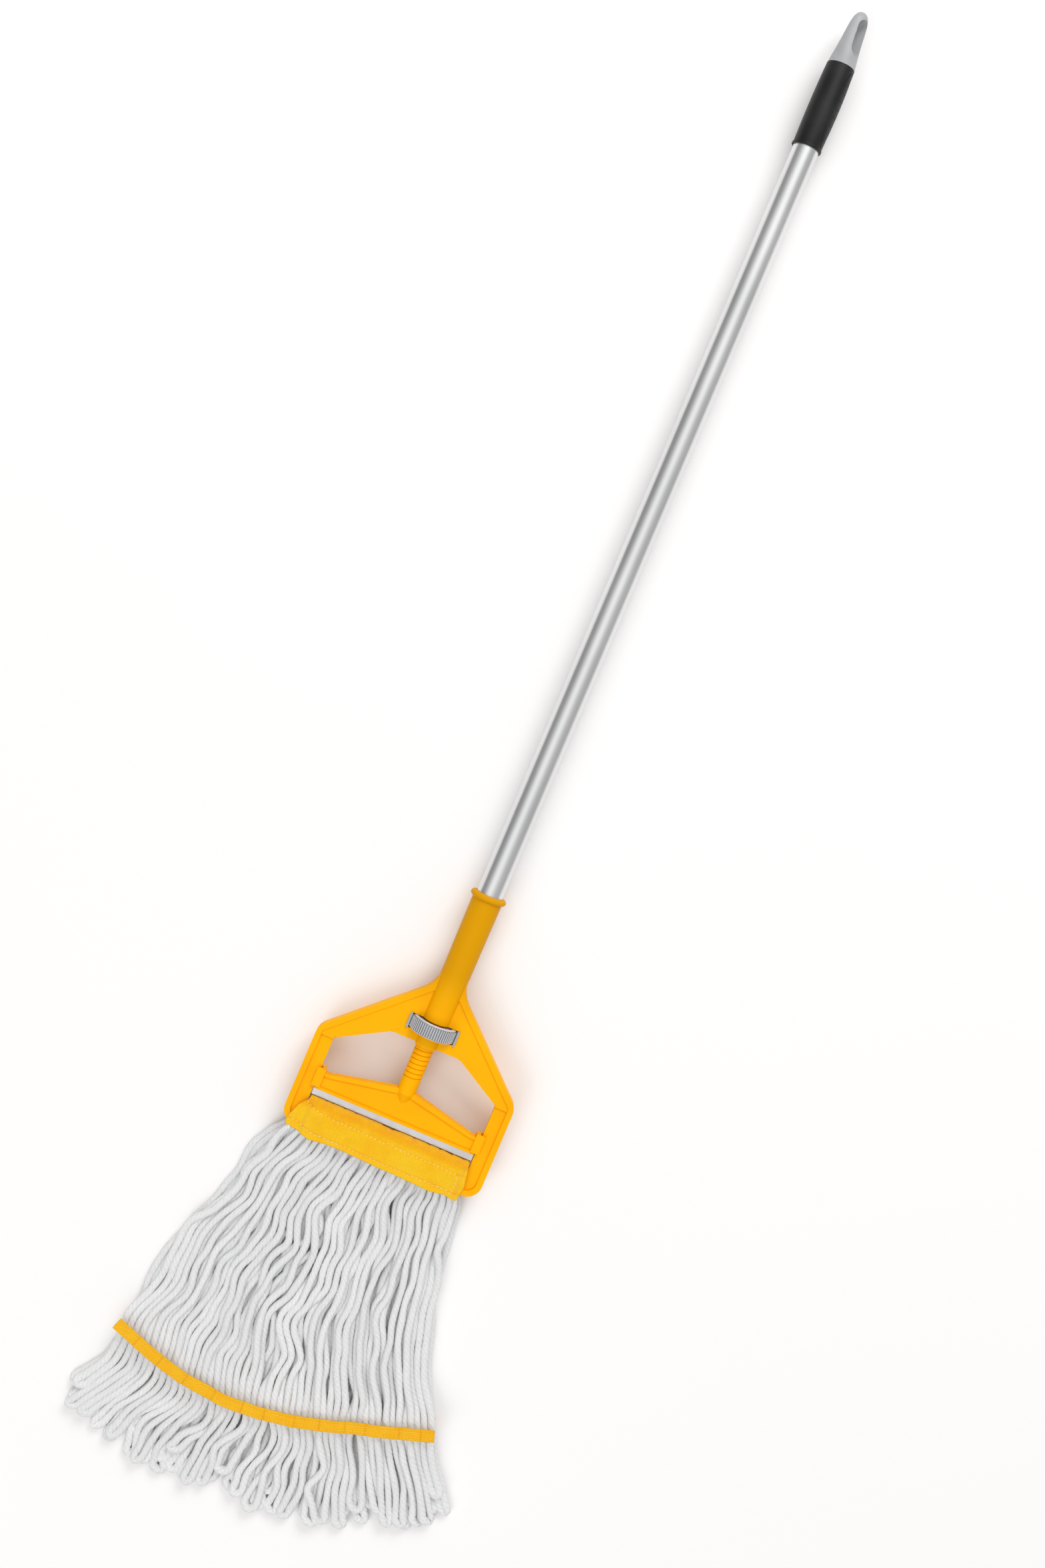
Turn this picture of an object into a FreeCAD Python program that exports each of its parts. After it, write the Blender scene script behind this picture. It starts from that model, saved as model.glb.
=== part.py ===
import FreeCAD, Part
import math
import os
import Sketcher
from FreeCAD import Placement, Rotation, Vector

# String mop with a screw-clamp head, lying flat.
# +Y runs along the handle to the hanging cap, X across the clamp, +Z up from the floor.
# A station is a distance from the cap's tip, measured along the handle.

DIMENSIONS = [
    ("overall_length", 1510.0),
    ("axis_height", 25.0),
    # handle
    ("tube_radius", 12.5),
    ("tube_wall", 1.2),
    ("tube_top", 57.0),
    ("tube_end", 956.0),
    ("tip_plug_length", 16.0),
    ("tip_flange", 2.5),
    # hanging cap
    ("cap_base", 54.6),
    ("cap_radius", 13.35),
    ("cap_plug_length", 30.0),
    ("cap_turn", 52.0),
    ("eye_half_width", 7.0),
    ("eye_top", 8.0),
    ("eye_bottom", 42.0),
    ("eye_taper", 9.0),
    ("plug_overlap", 2.4),
    # hand grip
    ("grip_end", 136.7),
    ("grip_radius_top", 13.5),
    ("grip_radius_middle", 14.25),
    ("grip_radius_end", 13.75),
    ("grip_lip_radius", 14.4),
    ("grip_lip_length", 2.6),
    ("lip_rounding", 0.55),
    ("panel_rise", 0.35),
    ("panel_half_width", 7.6),
    ("panel_reach", 37.0),
    ("panel_relief", 0.6),
    ("bars_half_width", 5.4),
    ("bars_reach", 31.0),
    ("panel_gap", 1.6),
    ("panel_pitch", 8.0),
    # clamp frame
    ("socket_top", 886.0),
    ("socket_radius", 14.4),
    ("socket_low_radius", 13.3),
    ("rim_radius", 17.4),
    ("rim_bead", 2.7),
    ("socket_fit", 0.05),
    ("stem_clearance", 0.35),
    ("wing_root", 979.0),
    ("wing_root_half", 12.6),
    ("wing_flare", 34.0),
    ("shoulder_station", 1058.0),
    ("shoulder_half", 98.6),
    ("shoulder_round", 15.0),
    ("frame_bottom", 1151.0),
    ("corner_round", 15.0),
    ("rib_width", 5.5),
    ("frame_thickness", 12.0),
    ("yoke_thickness", 9.6),
    ("web_thickness", 6.4),
    ("bar_thickness", 8.4),
    ("window_half", 81.0),
    ("window_shoulder", 1063.0),
    ("window_top", 1036.5),
    ("window_top_half", 34.0),
    ("window_bottom", 1129.4),
    ("window_round", 3.0),
    ("bar_end_margin", 0.6),
    ("neck_radius", 11.4),
    ("neck_end", 1038.5),
    ("neck_bevel", 1.2),
    # thumb wheel
    ("wheel_station", 1020.0),
    ("wheel_radius", 22.2),
    ("wheel_width", 13.5),
    ("wheel_bore", 8.98),
    ("wheel_edge", 1.0),
    ("wheel_rim", 3.4),
    ("wheel_hub_radius", 15.6),
    ("wheel_hub_drop", 1.6),
    ("wheel_web", 4.4),
    ("wheel_ribs", 58.0),
    ("rib_relief", 0.9),
    ("rib_foot_half", 0.85),
    ("rib_crown_half", 0.3),
    ("rib_end", 1.4),
    ("slot_gap", 0.4),
    ("guide_gap", 0.2),
    ("guide_width", 2.1),
    ("guide_rise", 0.8),
    # jaw
    ("stem_radius", 8.9),
    ("stem_top", 1004.0),
    ("stem_base", 1085.0),
    ("thread_pitch", 4.5),
    ("thread_depth", 1.1),
    ("thread_half_width", 0.85),
    ("thread_end", 1072.0),
    ("boss_tip", 1101.0),
    ("jaw_bottom", 1112.6),
    ("jaw_crest", 1082.5),
    ("jaw_crest_half", 9.5),
    ("jaw_end_station", 1096.5),
    ("jaw_half", 79.6),
    ("jaw_end_run", 8.0),
    ("jaw_lip", 2.6),
    ("jaw_end_lip", 4.0),
    ("jaw_thickness", 7.0),
    ("jaw_rib_thickness", 10.0),
    ("fork_half", 83.8),
    ("fork_inner", 75.6),
    ("fork_top", 1093.0),
    ("fork_low", 1110.5),
    ("fork_thickness", 13.0),
    ("fork_gap", 7.4),
    ("strip_height", 7.0),
    ("strip_thickness", 6.0),
    ("rivet_radius", 1.6),
    ("rivet_length", 10.0),
    ("rivet_spacing", 62.0),
    # headband and the yarns under it
    ("band_crest", 1121.0),
    ("band_hem", 1154.0),
    ("band_length", 160.0),
    ("band_thickness", 1.4),
    ("band_half_depth", 12.4),
    ("core_thickness", 5.4),
    ("liner_thickness", 1.1),
    ("stitch_length", 2.6),
    ("stitch_width", 0.6),
    ("stitch_rise", 0.5),
    ("stitch_inset", 4.0),
    ("upper_row_drop", 11.0),
    ("lower_row_rise", 5.0),
    # yarn layers and tail bands
    ("yarn_layer", 12.6),
    ("yarn_flat_station", 1245.0),
    ("tape_width", 11.0),
    ("tape_thickness", 1.2),
    ("tape_row_inset", 2.6),
    # retaining screw
    ("screw_station", 925.0),
    ("screw_radius", 1.9),
    ("screw_head_radius", 3.9),
    ("screw_head_height", 2.4),
]

D = dict(DIMENSIONS)
doc = FreeCAD.newDocument("string_mop")
sheet = doc.addObject("Spreadsheet::Sheet", "dims")
for row, (alias, value) in enumerate(DIMENSIONS, start=1):
    sheet.set("A%d" % row, alias)
    sheet.set("B%d" % row, str(value))
    sheet.setAlias("B%d" % row, alias)
doc.recompute()

PARTS = []


def keep(thing, name):
    """Registers a finished sub-part under its own label."""
    thing.Label = name
    PARTS.append((name, thing))
    return thing


class Amount:
    """A length as the sheet's expression together with its present value."""

    def __init__(self, text, value):
        self.text = text
        self.value = value

    def __add__(self, other):
        other = amount(other)
        return Amount("(%s + %s)" % (self.text, other.text), self.value + other.value)

    def __sub__(self, other):
        other = amount(other)
        return Amount("(%s - %s)" % (self.text, other.text), self.value - other.value)

    def __mul__(self, factor):
        return Amount("(%s * %s)" % (self.text, factor), self.value * factor)

    def __neg__(self):
        return self * -1


def amount(thing):
    """A sheet alias, a plain number or an Amount, as an Amount."""
    if isinstance(thing, Amount):
        return thing
    if isinstance(thing, str):
        return Amount("dims." + thing, D[thing])
    return Amount("(%s)" % repr(float(thing)), float(thing))


def station(thing):
    """Y of a station."""
    return amount("overall_length") * 0.5 - amount(thing)


def bind(thing, prop, value):
    value = amount(value)
    thing.setExpression(prop, value.text)
    return value.value


def place_on_axis(thing):
    """Lifts a part drawn about its own Y axis to the handle's axis."""
    bind(thing, "Placement.Base.z", "axis_height")


# ---------------------------------------------------------------- PartDesign helpers


def new_body(name):
    return doc.addObject("PartDesign::Body", name)


def plane(body, role):
    return next(f for f in body.Origin.OriginFeatures if f.Role == role)


def sketch_on(body, name, role, *loops):
    """A sketch on one of the body's own planes, with each loop's corners bound to the sheet."""
    sketch = body.newObject("Sketcher::SketchObject", name)
    sketch.AttachmentSupport = [(plane(body, role), "")]
    sketch.MapMode = "FlatFace"
    for loop in loops:
        add_loop(sketch, loop)
    doc.recompute()
    return sketch


def add_loop(sketch, corners):
    """Closed loop of (x, y) corners; a third entry bows the edge that leaves that corner."""
    points = [(amount(c[0]), amount(c[1])) for c in corners]
    bows = [c[2] if len(c) > 2 else None for c in corners]
    ends = []
    for index, (x, y) in enumerate(points):
        nx, ny = points[(index + 1) % len(points)]
        start = Vector(x.value, y.value, 0)
        finish = Vector(nx.value, ny.value, 0)
        if bows[index] is None:
            number = sketch.addGeometry(Part.LineSegment(start, finish), False)
            ends.append((number, 1, 2))
            continue
        across = (finish - start).cross(Vector(0, 0, 1)).normalize()
        middle = (start + finish) * 0.5 + across * bows[index]
        arc = Part.Arc(start, middle, finish)
        number = sketch.addGeometry(arc, False)
        first = sketch.getPoint(number, 1)
        forward = (first - start).Length < (first - finish).Length
        ends.append((number, 1, 2) if forward else (number, 2, 1))
        hold_bow(sketch, number, ends[-1][1], abs(finish.x - start.x) > abs(finish.y - start.y))
    for index, (x, y) in enumerate(points):
        number, first, _ = ends[index]
        before, _, last = ends[index - 1]
        sketch.addConstraint(Sketcher.Constraint("Coincident", before, last, number, first))
        for kind, value in (("DistanceX", x), ("DistanceY", y)):
            rule = Sketcher.Constraint(kind, -1, 1, number, first, value.value)
            at = sketch.addConstraint(rule)
            sketch.setExpression("Constraints[%d]" % at, value.text)


def hold_bow(sketch, number, corner, level):
    """Fixes how far an arc's centre stands from its chord."""
    centre = sketch.getPoint(number, 3)
    start = sketch.getPoint(number, corner)
    offset = centre.y - start.y if level else centre.x - start.x
    if abs(offset) < 0.001:
        kind = "Horizontal" if level else "Vertical"
        sketch.addConstraint(Sketcher.Constraint(kind, number, corner, number, 3))
        return
    kind = "DistanceY" if level else "DistanceX"
    sketch.addConstraint(Sketcher.Constraint(kind, number, corner, number, 3, offset))


def add_circle(sketch, x, y, radius):
    x, y, radius = amount(x), amount(y), amount(radius)
    circle = Part.Circle(Vector(x.value, y.value, 0), Vector(0, 0, 1), radius.value)
    number = sketch.addGeometry(circle, False)
    for kind, value in (("DistanceX", x), ("DistanceY", y)):
        at = sketch.addConstraint(Sketcher.Constraint(kind, -1, 1, number, 3, value.value))
        sketch.setExpression("Constraints[%d]" % at, value.text)
    at = sketch.addConstraint(Sketcher.Constraint("Radius", number, radius.value))
    sketch.setExpression("Constraints[%d]" % at, radius.text)


def feature(body, kind, name, sketch, **settings):
    made = body.newObject("PartDesign::" + kind, name)
    made.Profile = sketch
    for prop, value in settings.items():
        if prop == "Length":
            made.Length = amount(value).value
            bind(made, prop, value)
        else:
            setattr(made, prop, value)
    doc.recompute()
    return made


def pad(body, name, sketch, length):
    """Pad half to each side of the sketch's plane."""
    return feature(body, "Pad", name, sketch, Length=length, Midplane=True)


def cut_through(body, name, sketch, length):
    """Pocket half to each side of the sketch's plane; it must take material away."""
    before = body.Shape.Volume
    made = feature(body, "Pocket", name, sketch, Length=length, Midplane=True)
    if body.Shape.Volume >= before - 0.01:
        raise RuntimeError(name + " cuts nothing")
    return made


def turn(body, name, sketch, kind="Revolution"):
    """Full turn about the sketch's vertical axis."""
    return feature(body, kind, name, sketch, ReferenceAxis=(sketch, ["V_Axis"]), Angle=360.0)


def round_edges(body, name, wanted, radius):
    """Fillets every edge of the body for which wanted(edge) holds."""
    base = body.Tip
    names = ["Edge%d" % (i + 1) for i, edge in enumerate(base.Shape.Edges) if wanted(edge)]
    if not names:
        raise RuntimeError(name + " finds no edge")
    made = body.newObject("PartDesign::Fillet", name)
    made.Base = (base, names)
    made.Radius = amount(radius).value
    bind(made, "Radius", radius)
    doc.recompute()
    return made


def upright_at(*places):
    """Edges along Z through one of the (|x|, y) places."""

    def wanted(edge):
        ends = [v.Point for v in edge.Vertexes]
        if len(ends) != 2 or abs(ends[0].z - ends[1].z) < 1.0:
            return False
        if math.hypot(ends[0].x - ends[1].x, ends[0].y - ends[1].y) > 0.01:
            return False
        for x, y in places:
            if math.hypot(abs(ends[0].x) - amount(x).value, ends[0].y - amount(y).value) < 0.1:
                return True
        return False

    return wanted


# ---------------------------------------------------------------- Part helpers


def box(name, low, size):
    """Part::Box from its lowest corner and its size along X, Y and Z."""
    made = doc.addObject("Part::Box", name)
    for prop, value in zip(("Length", "Width", "Height"), size):
        setattr(made, prop, amount(value).value)
        bind(made, prop, value)
    for axis, value in zip("xyz", low):
        bind(made, "Placement.Base." + axis, value)
    return made


def cylinder(name, radius, height, base, rotation):
    made = doc.addObject("Part::Cylinder", name)
    bind(made, "Radius", radius)
    bind(made, "Height", height)
    made.Placement = Placement(Vector(0, 0, 0), rotation)
    for axis, value in zip("xyz", base):
        bind(made, "Placement.Base." + axis, value)
    return made


ALONG_Y = Rotation(Vector(1, 0, 0), -90)
PANEL_TURN = Rotation(Vector(0, 1, 0), 58)

# Cross-sections of the hanging cap: station, half width and half thickness.
CAP_RINGS = [
    (D["cap_base"], D["cap_radius"], D["cap_radius"]),
    (44.0, 12.7, 11.6),
    (32.0, 11.9, 9.6),
    (20.0, 11.1, 8.2),
    (11.0, 9.9, 7.2),
    (5.5, 8.1, 6.0),
    (2.2, 5.6, 4.4),
    (0.6, 3.0, 2.5),
    (0.0, 1.2, 1.1),
]


def cut(name, base, tool):
    made = doc.addObject("Part::Cut", name)
    made.Base = base
    made.Tool = tool
    doc.recompute()
    return made


def fuse(name, *things):
    made = doc.addObject("Part::MultiFuse", name)
    made.Shapes = list(things)
    made.Refine = True
    doc.recompute()
    return made


def common(name, *things):
    made = doc.addObject("Part::MultiCommon", name)
    made.Shapes = list(things)
    doc.recompute()
    return made


def part_fillet(name, base, wanted, radius):
    made = doc.addObject("Part::Fillet", name)
    made.Base = base
    doc.recompute()
    chosen = [i + 1 for i, edge in enumerate(base.Shape.Edges) if wanted(edge)]
    if not chosen:
        raise RuntimeError(name + " finds no edge")
    made.Edges = [(i, radius, radius) for i in chosen]
    doc.recompute()
    return made


# ---------------------------------------------------------------- handle


def handle_tube():
    body = new_body("handle_tube")
    inner = amount("tube_radius") - "tube_wall"
    top = station("tube_top")
    end = station("tube_end")
    profile = [(inner, end), ("tube_radius", end), ("tube_radius", top), (inner, top)]
    wall = sketch_on(body, "tube_wall_section", "XY_Plane", profile)
    turn(body, "tube_turned", wall)
    hole = sketch_on(body, "tube_screw_hole", "XY_Plane")
    add_circle(hole, 0.0, station("screw_station"), "screw_radius")
    before = body.Shape.Volume
    feature(body, "Pocket", "tube_screw_bore", hole, Length="tube_radius")
    if body.Shape.Volume >= before - 0.01:
        raise RuntimeError("the tube's screw hole cuts nothing")
    place_on_axis(body)
    return keep(body, "handle_tube")


def tube_tip():
    """Plug that closes the tube's lower end, with a flange the tube stands on."""
    body = new_body("tube_tip_plug")
    inner = amount("tube_radius") - "tube_wall"
    end = station("tube_end")
    top = end + "tip_plug_length"
    foot = end - "tip_flange"
    hollow = inner - 3.0
    profile = [
        (0.0, foot),
        ("tube_radius", foot),
        ("tube_radius", end),
        (inner, end),
        (inner, top - 1.5),
        (inner - 1.5, top),
        (hollow, top),
        (hollow, end),
        (0.0, end),
    ]
    turn(body, "plug_turned", sketch_on(body, "plug_section", "XY_Plane", profile))
    place_on_axis(body)
    return keep(body, "tube_tip_plug")


def hand_grip():
    """Soft sleeve, slightly barrelled, with a bead at its lower end and a raised lozenge panel."""
    body = new_body("grip_sleeve")
    top = station("cap_base")
    end = station("grip_end")
    bead = end + "grip_lip_length"
    barrel = D["grip_radius_middle"] - (D["grip_radius_top"] + D["grip_radius_end"]) / 2
    profile = [
        ("tube_radius", end),
        ("grip_lip_radius", end),
        ("grip_lip_radius", bead),
        ("grip_radius_end", bead, barrel),
        ("grip_radius_top", top),
        ("tube_radius", top),
    ]
    turn(body, "sleeve_turned", sketch_on(body, "sleeve_section", "XY_Plane", profile))
    edge_at = amount("grip_lip_radius")

    def bead_rim(edge):
        circle = getattr(edge.Curve, "Radius", 0.0)
        return abs(circle - edge_at.value) < 0.01 and len(edge.Vertexes) == 1

    round_edges(body, "bead_rounded", bead_rim, "lip_rounding")
    place_on_axis(body)

    frame = raised_panel(
        "panel_frame", D["panel_rise"], D["panel_half_width"], D["panel_reach"]
    )
    bars = raised_panel("panel_bars", D["panel_relief"], D["bars_half_width"], D["bars_reach"])
    return fuse("hand_grip", body, frame, slotted_across(bars))


def raised_panel(name, rise, half_width, reach):
    """Lozenge on the grip's side that stands a little proud of the sleeve."""
    middle = (D["cap_base"] + D["grip_end"]) / 2
    low = station(middle + reach)
    high = station(middle - reach)
    shell = new_body(name + "_shell")
    bulge = (D["grip_radius_middle"] - D["grip_radius_end"]) * 0.85
    level = amount("grip_radius_end") + rise
    profile = [
        ("tube_radius", low),
        (level, low, bulge),
        (level, high),
        ("tube_radius", high),
    ]
    turn(shell, name + "_turned", sketch_on(shell, name + "_section", "XY_Plane", profile))
    place_on_axis(shell)
    lozenge = new_body(name + "_outline")
    bow = -half_width * 0.2
    end_half = 1.2
    rim = [
        (-half_width, station(middle), bow),
        (-end_half, high),
        (end_half, high, bow),
        (half_width, station(middle), bow),
        (end_half, low),
        (-end_half, low, bow),
    ]
    drawn = sketch_on(lozenge, name + "_lozenge", "XY_Plane", rim)
    feature(lozenge, "Pad", name + "_pad", drawn, Length=20.0)
    lozenge.Placement = Placement(Vector(0, 0, D["axis_height"]), PANEL_TURN)
    return common(name, shell, lozenge)


def slotted_across(panel):
    """Parts the panel into bars that give the fingers a hold."""
    middle = (D["cap_base"] + D["grip_end"]) / 2
    reach = 15.0
    made = panel
    for number in range(7):
        gap = doc.addObject("Part::Box", "panel_gap_%d" % number)
        gap.Length = reach * 2
        gap.Height = reach * 2
        bind(gap, "Width", "panel_gap")
        low = station(middle) + (number - 3) * D["panel_pitch"] - amount("panel_gap") * 0.5
        corner = PANEL_TURN.multVec(Vector(-reach, 0.0, 0.0))
        height = D["axis_height"] + corner.z
        gap.Placement = Placement(Vector(corner.x, low.value, height), PANEL_TURN)
        made = cut("panel_slot_%d" % number, made, gap)
    return made


def hanging_cap():
    """Tapered cap with a long oval eye; its plug holds it in the tube."""
    rings = []
    for number, (along, wide, deep) in enumerate(CAP_RINGS):
        ring = doc.addObject("Part::Ellipse", "cap_ring_%d" % number)
        ring.MajorRadius = wide
        ring.MinorRadius = deep
        ring.Placement = Placement(Vector(0, 0, 0), ALONG_Y)
        bind(ring, "Placement.Base.y", station("cap_base") + (D["cap_base"] - along))
        rings.append(ring)
    shell = doc.addObject("Part::Loft", "cap_shell")
    shell.Sections = rings
    shell.Solid = True
    shell.Ruled = False
    doc.recompute()
    eye = new_body("cap_eye")
    eye_low = station("eye_bottom") + "eye_half_width"
    eye_high = station("eye_top") - "eye_half_width"
    half = D["eye_half_width"]
    rim = [
        (-half, eye_low, half),
        (half, eye_low),
        (half, eye_high, half),
        (-half, eye_high),
    ]
    drawn = sketch_on(eye, "eye_rim", "XY_Plane", rim)
    reach = amount("cap_radius") * 1.4
    flare = D["eye_taper"]
    feature(eye, "Pad", "eye_front", drawn, Length=reach, TaperAngle=flare)
    feature(eye, "Pad", "eye_back", drawn, Length=reach, TaperAngle=flare, Reversed=True)
    pierced = cut("cap_pierced", shell, eye)
    plug = cylinder(
        "cap_plug",
        amount("tube_radius") - "tube_wall",
        amount("cap_plug_length") + "plug_overlap",
        (0.0, station("cap_base") - "cap_plug_length", 0.0),
        ALONG_Y,
    )
    made = fuse("hanging_cap", pierced, plug)
    made.Refine = False
    made.Placement = Placement(
        Vector(0, 0, D["axis_height"]), Rotation(Vector(0, 1, 0), D["cap_turn"])
    )
    return made


def retaining_screw():
    """Self-tapping screw through the back of the socket into the tube."""
    body = new_body("retaining_screw")
    wall = amount("socket_radius") - 0.25
    under = -wall
    head = under - "screw_head_height"
    tip = -(amount("tube_radius") - "tube_wall" - 2.0)
    shank = amount("screw_radius")
    profile = [
        (0.0, head),
        (amount("screw_head_radius") - 1.0, head),
        ("screw_head_radius", head + 1.2),
        ("screw_head_radius", under),
        (shank, under),
        (shank, tip - 1.0),
        (0.0, tip + 1.0),
    ]
    turn(body, "screw_turned", sketch_on(body, "screw_section", "XZ_Plane", profile))
    bind(body, "Placement.Base.y", station("screw_station"))
    place_on_axis(body)
    return keep(body, "retaining_screw")


# ---------------------------------------------------------------- clamp frame


def mirrored(half):
    """A closed loop from its right half, given from the top down."""
    return [(x, y) for x, y in half] + [(-amount(x), y) for x, y in reversed(half)]


def frame_outline():
    root = station("wing_root")
    return [
        ("wing_root_half", root + 20.0),
        ("wing_root_half", root),
        ("shoulder_half", station("shoulder_station")),
        ("shoulder_half", station("frame_bottom")),
    ]


def window_outline():
    return [
        ("window_top_half", station("window_top")),
        ("window_half", station("window_shoulder")),
        ("window_half", station("window_bottom")),
    ]


def clamp_frame():
    body = new_body("clamp_frame")
    slab = sketch_on(
        body, "frame_plan", "XY_Plane", mirrored(frame_outline()), mirrored(window_outline())
    )
    pad(body, "frame_slab", slab, "frame_thickness")
    root = ("wing_root_half", station("wing_root"))
    round_edges(body, "wing_root_flare", upright_at(root), "wing_flare")
    shoulder = ("shoulder_half", station("shoulder_station"))
    round_edges(body, "shoulder_rounded", upright_at(shoulder), "shoulder_round")
    corner = ("shoulder_half", station("frame_bottom"))
    round_edges(body, "corner_rounded", upright_at(corner), "corner_round")
    round_edges(body, "window_rounded", upright_at(*window_outline()[:2]), "window_round")

    recess_frame(body)
    add_socket(body)
    cut_slot(body)
    place_on_axis(body)
    return keep(body, "clamp_frame")


def recess_frame(body):
    """Lowers both faces inside the edge rib, less over the yoke than along the rails."""
    rib = amount("rib_width")
    inner = amount("shoulder_half") - rib
    # A parallel to the sloping edge, one rib width inside it.
    run = D["shoulder_half"] - D["wing_root_half"]
    fall = D["shoulder_station"] - D["wing_root"]
    slant = math.hypot(run, fall) / run * D["rib_width"]
    root_in = station("wing_root") - slant
    turn_down = station("shoulder_station") + D["rib_width"] * fall / run - slant
    step = station("window_shoulder") - 1.0
    yoke = [
        (0.5, root_in + 3.0),
        ("wing_root_half", root_in),
        (inner, turn_down),
        (inner, step),
        ("window_half", step),
        ("window_half", station("window_shoulder")),
        ("window_top_half", station("window_top")),
        (0.5, station("window_top")),
    ]
    # The rail's recess follows the lower corner down to the rib along the bottom.
    bar_end = amount("band_length") * 0.5 + "bar_end_margin"
    bar_top = station("window_bottom") + 1.0
    low = station("frame_bottom") + rib
    bend = amount("corner_round") - rib
    bow = -bend.value * (1 - math.sqrt(0.5))
    rail = [
        (inner, step),
        (inner, low + bend, bow),
        (inner - bend, low),
        (bar_end, low),
        (bar_end, bar_top),
        (amount("window_half") - 3.0, bar_top),
        (amount("window_half") - 3.0, step),
    ]
    bar = [
        (0.0, bar_top),
        (bar_end, bar_top),
        (bar_end, station("frame_bottom") - 1.0),
        (0.0, station("frame_bottom") - 1.0),
    ]
    regions = (
        ("yoke", yoke, "yoke_thickness"),
        ("rail", rail, "web_thickness"),
        ("bar", bar, "bar_thickness"),
    )
    for side in (1, -1):
        hand = "right" if side == 1 else "left"
        for region, loop, web in regions:
            face_depth = (amount("frame_thickness") - web) * 0.5
            turned = [(amount(c[0]) * side, c[1]) + tuple(b * side for b in c[2:]) for c in loop]
            for face in (1, -1):
                label = "%s_%s_%s" % (region, hand, "top" if face == 1 else "back")
                drawn = sketch_on(body, label + "_plan", "XY_Plane", turned)
                offset = (amount("frame_thickness") * 0.5 - face_depth * 0.5) * face
                bind(drawn, "AttachmentOffset.Base.z", offset)
                doc.recompute()
                cut_through(body, label + "_recess", drawn, face_depth)


def add_socket(body):
    """Socket with its rolled rim above the slot and the stem's collar below it."""
    top = station("socket_top")
    bead = D["rim_bead"]
    slot_top = station("wheel_station") + amount("wheel_width") * 0.5
    barrel = [
        (0.0, slot_top - 1.0),
        ("socket_low_radius", slot_top - 1.0),
        ("socket_radius", top - bead * 2),
        (amount("rim_radius") - bead, top - bead * 2, bead),
        (amount("rim_radius") - bead, top),
        (0.0, top),
    ]
    turn(body, "socket_turned", sketch_on(body, "socket_section", "XY_Plane", barrel))
    slot_low = station("wheel_station") - amount("wheel_width") * 0.5
    collar_end = station("neck_end")
    collar = [
        (0.0, slot_low + 1.0),
        ("neck_radius", slot_low + 1.0),
        ("neck_radius", collar_end + amount("neck_bevel") * 1.5),
        (amount("neck_radius") - "neck_bevel", collar_end),
        (0.0, collar_end),
    ]
    turn(body, "collar_turned", sketch_on(body, "collar_section", "XY_Plane", collar))
    bore = amount("tube_radius") + "socket_fit"
    stem = amount("stem_radius") + "stem_clearance"
    floor = station("tube_end") - "tip_flange"
    below = station("neck_end") - 5.0
    hollow = [
        (0.0, below),
        (stem, below),
        (stem, floor),
        (bore, floor),
        (bore, top + 1.0),
        (0.0, top + 1.0),
    ]
    before = body.Shape.Volume
    turn(body, "bored", sketch_on(body, "bore_section", "XY_Plane", hollow), "Groove")
    if body.Shape.Volume >= before:
        raise RuntimeError("the socket's bore cuts nothing")


def cut_slot(body):
    """Slot across the yoke for the thumb wheel, and the screw's hole in the socket's back."""
    half_gap = amount("wheel_width") * 0.5 + "slot_gap"
    low = station("wheel_station") - half_gap
    high = station("wheel_station") + half_gap
    side = amount("wheel_radius") + "guide_gap" + "guide_width"
    rim = [(-side, low), (side, low), (side, high), (-side, high)]
    drawn = sketch_on(body, "slot_plan", "XY_Plane", rim)
    cut_through(body, "wheel_slot", drawn, amount("wheel_radius") * 2.2)
    hole = sketch_on(body, "socket_screw_hole", "XY_Plane")
    add_circle(hole, 0.0, station("screw_station"), "screw_radius")
    before = body.Shape.Volume
    feature(body, "Pocket", "socket_screw_bore", hole, Length="rim_radius")
    if body.Shape.Volume >= before - 0.01:
        raise RuntimeError("the socket's screw hole cuts nothing")


def wheel_guides():
    """Flat guide pad at each end of the wheel's slot."""
    pads = []
    half_gap = amount("wheel_width") * 0.5 + "slot_gap"
    reach = amount("frame_thickness") + amount("guide_rise") * 2
    for side in (1, -1):
        edge = amount("wheel_radius") + "guide_gap"
        low_x = edge if side == 1 else -(edge + "guide_width")
        block = box(
            "guide_%s" % ("right" if side == 1 else "left"),
            (low_x, station("wheel_station") - half_gap, amount("axis_height") - reach * 0.5),
            ("guide_width", half_gap * 2, reach),
        )
        pads.append(block)
    return keep(fuse("wheel_guides", *pads), "wheel_guides")


# ---------------------------------------------------------------- thumb wheel


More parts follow.
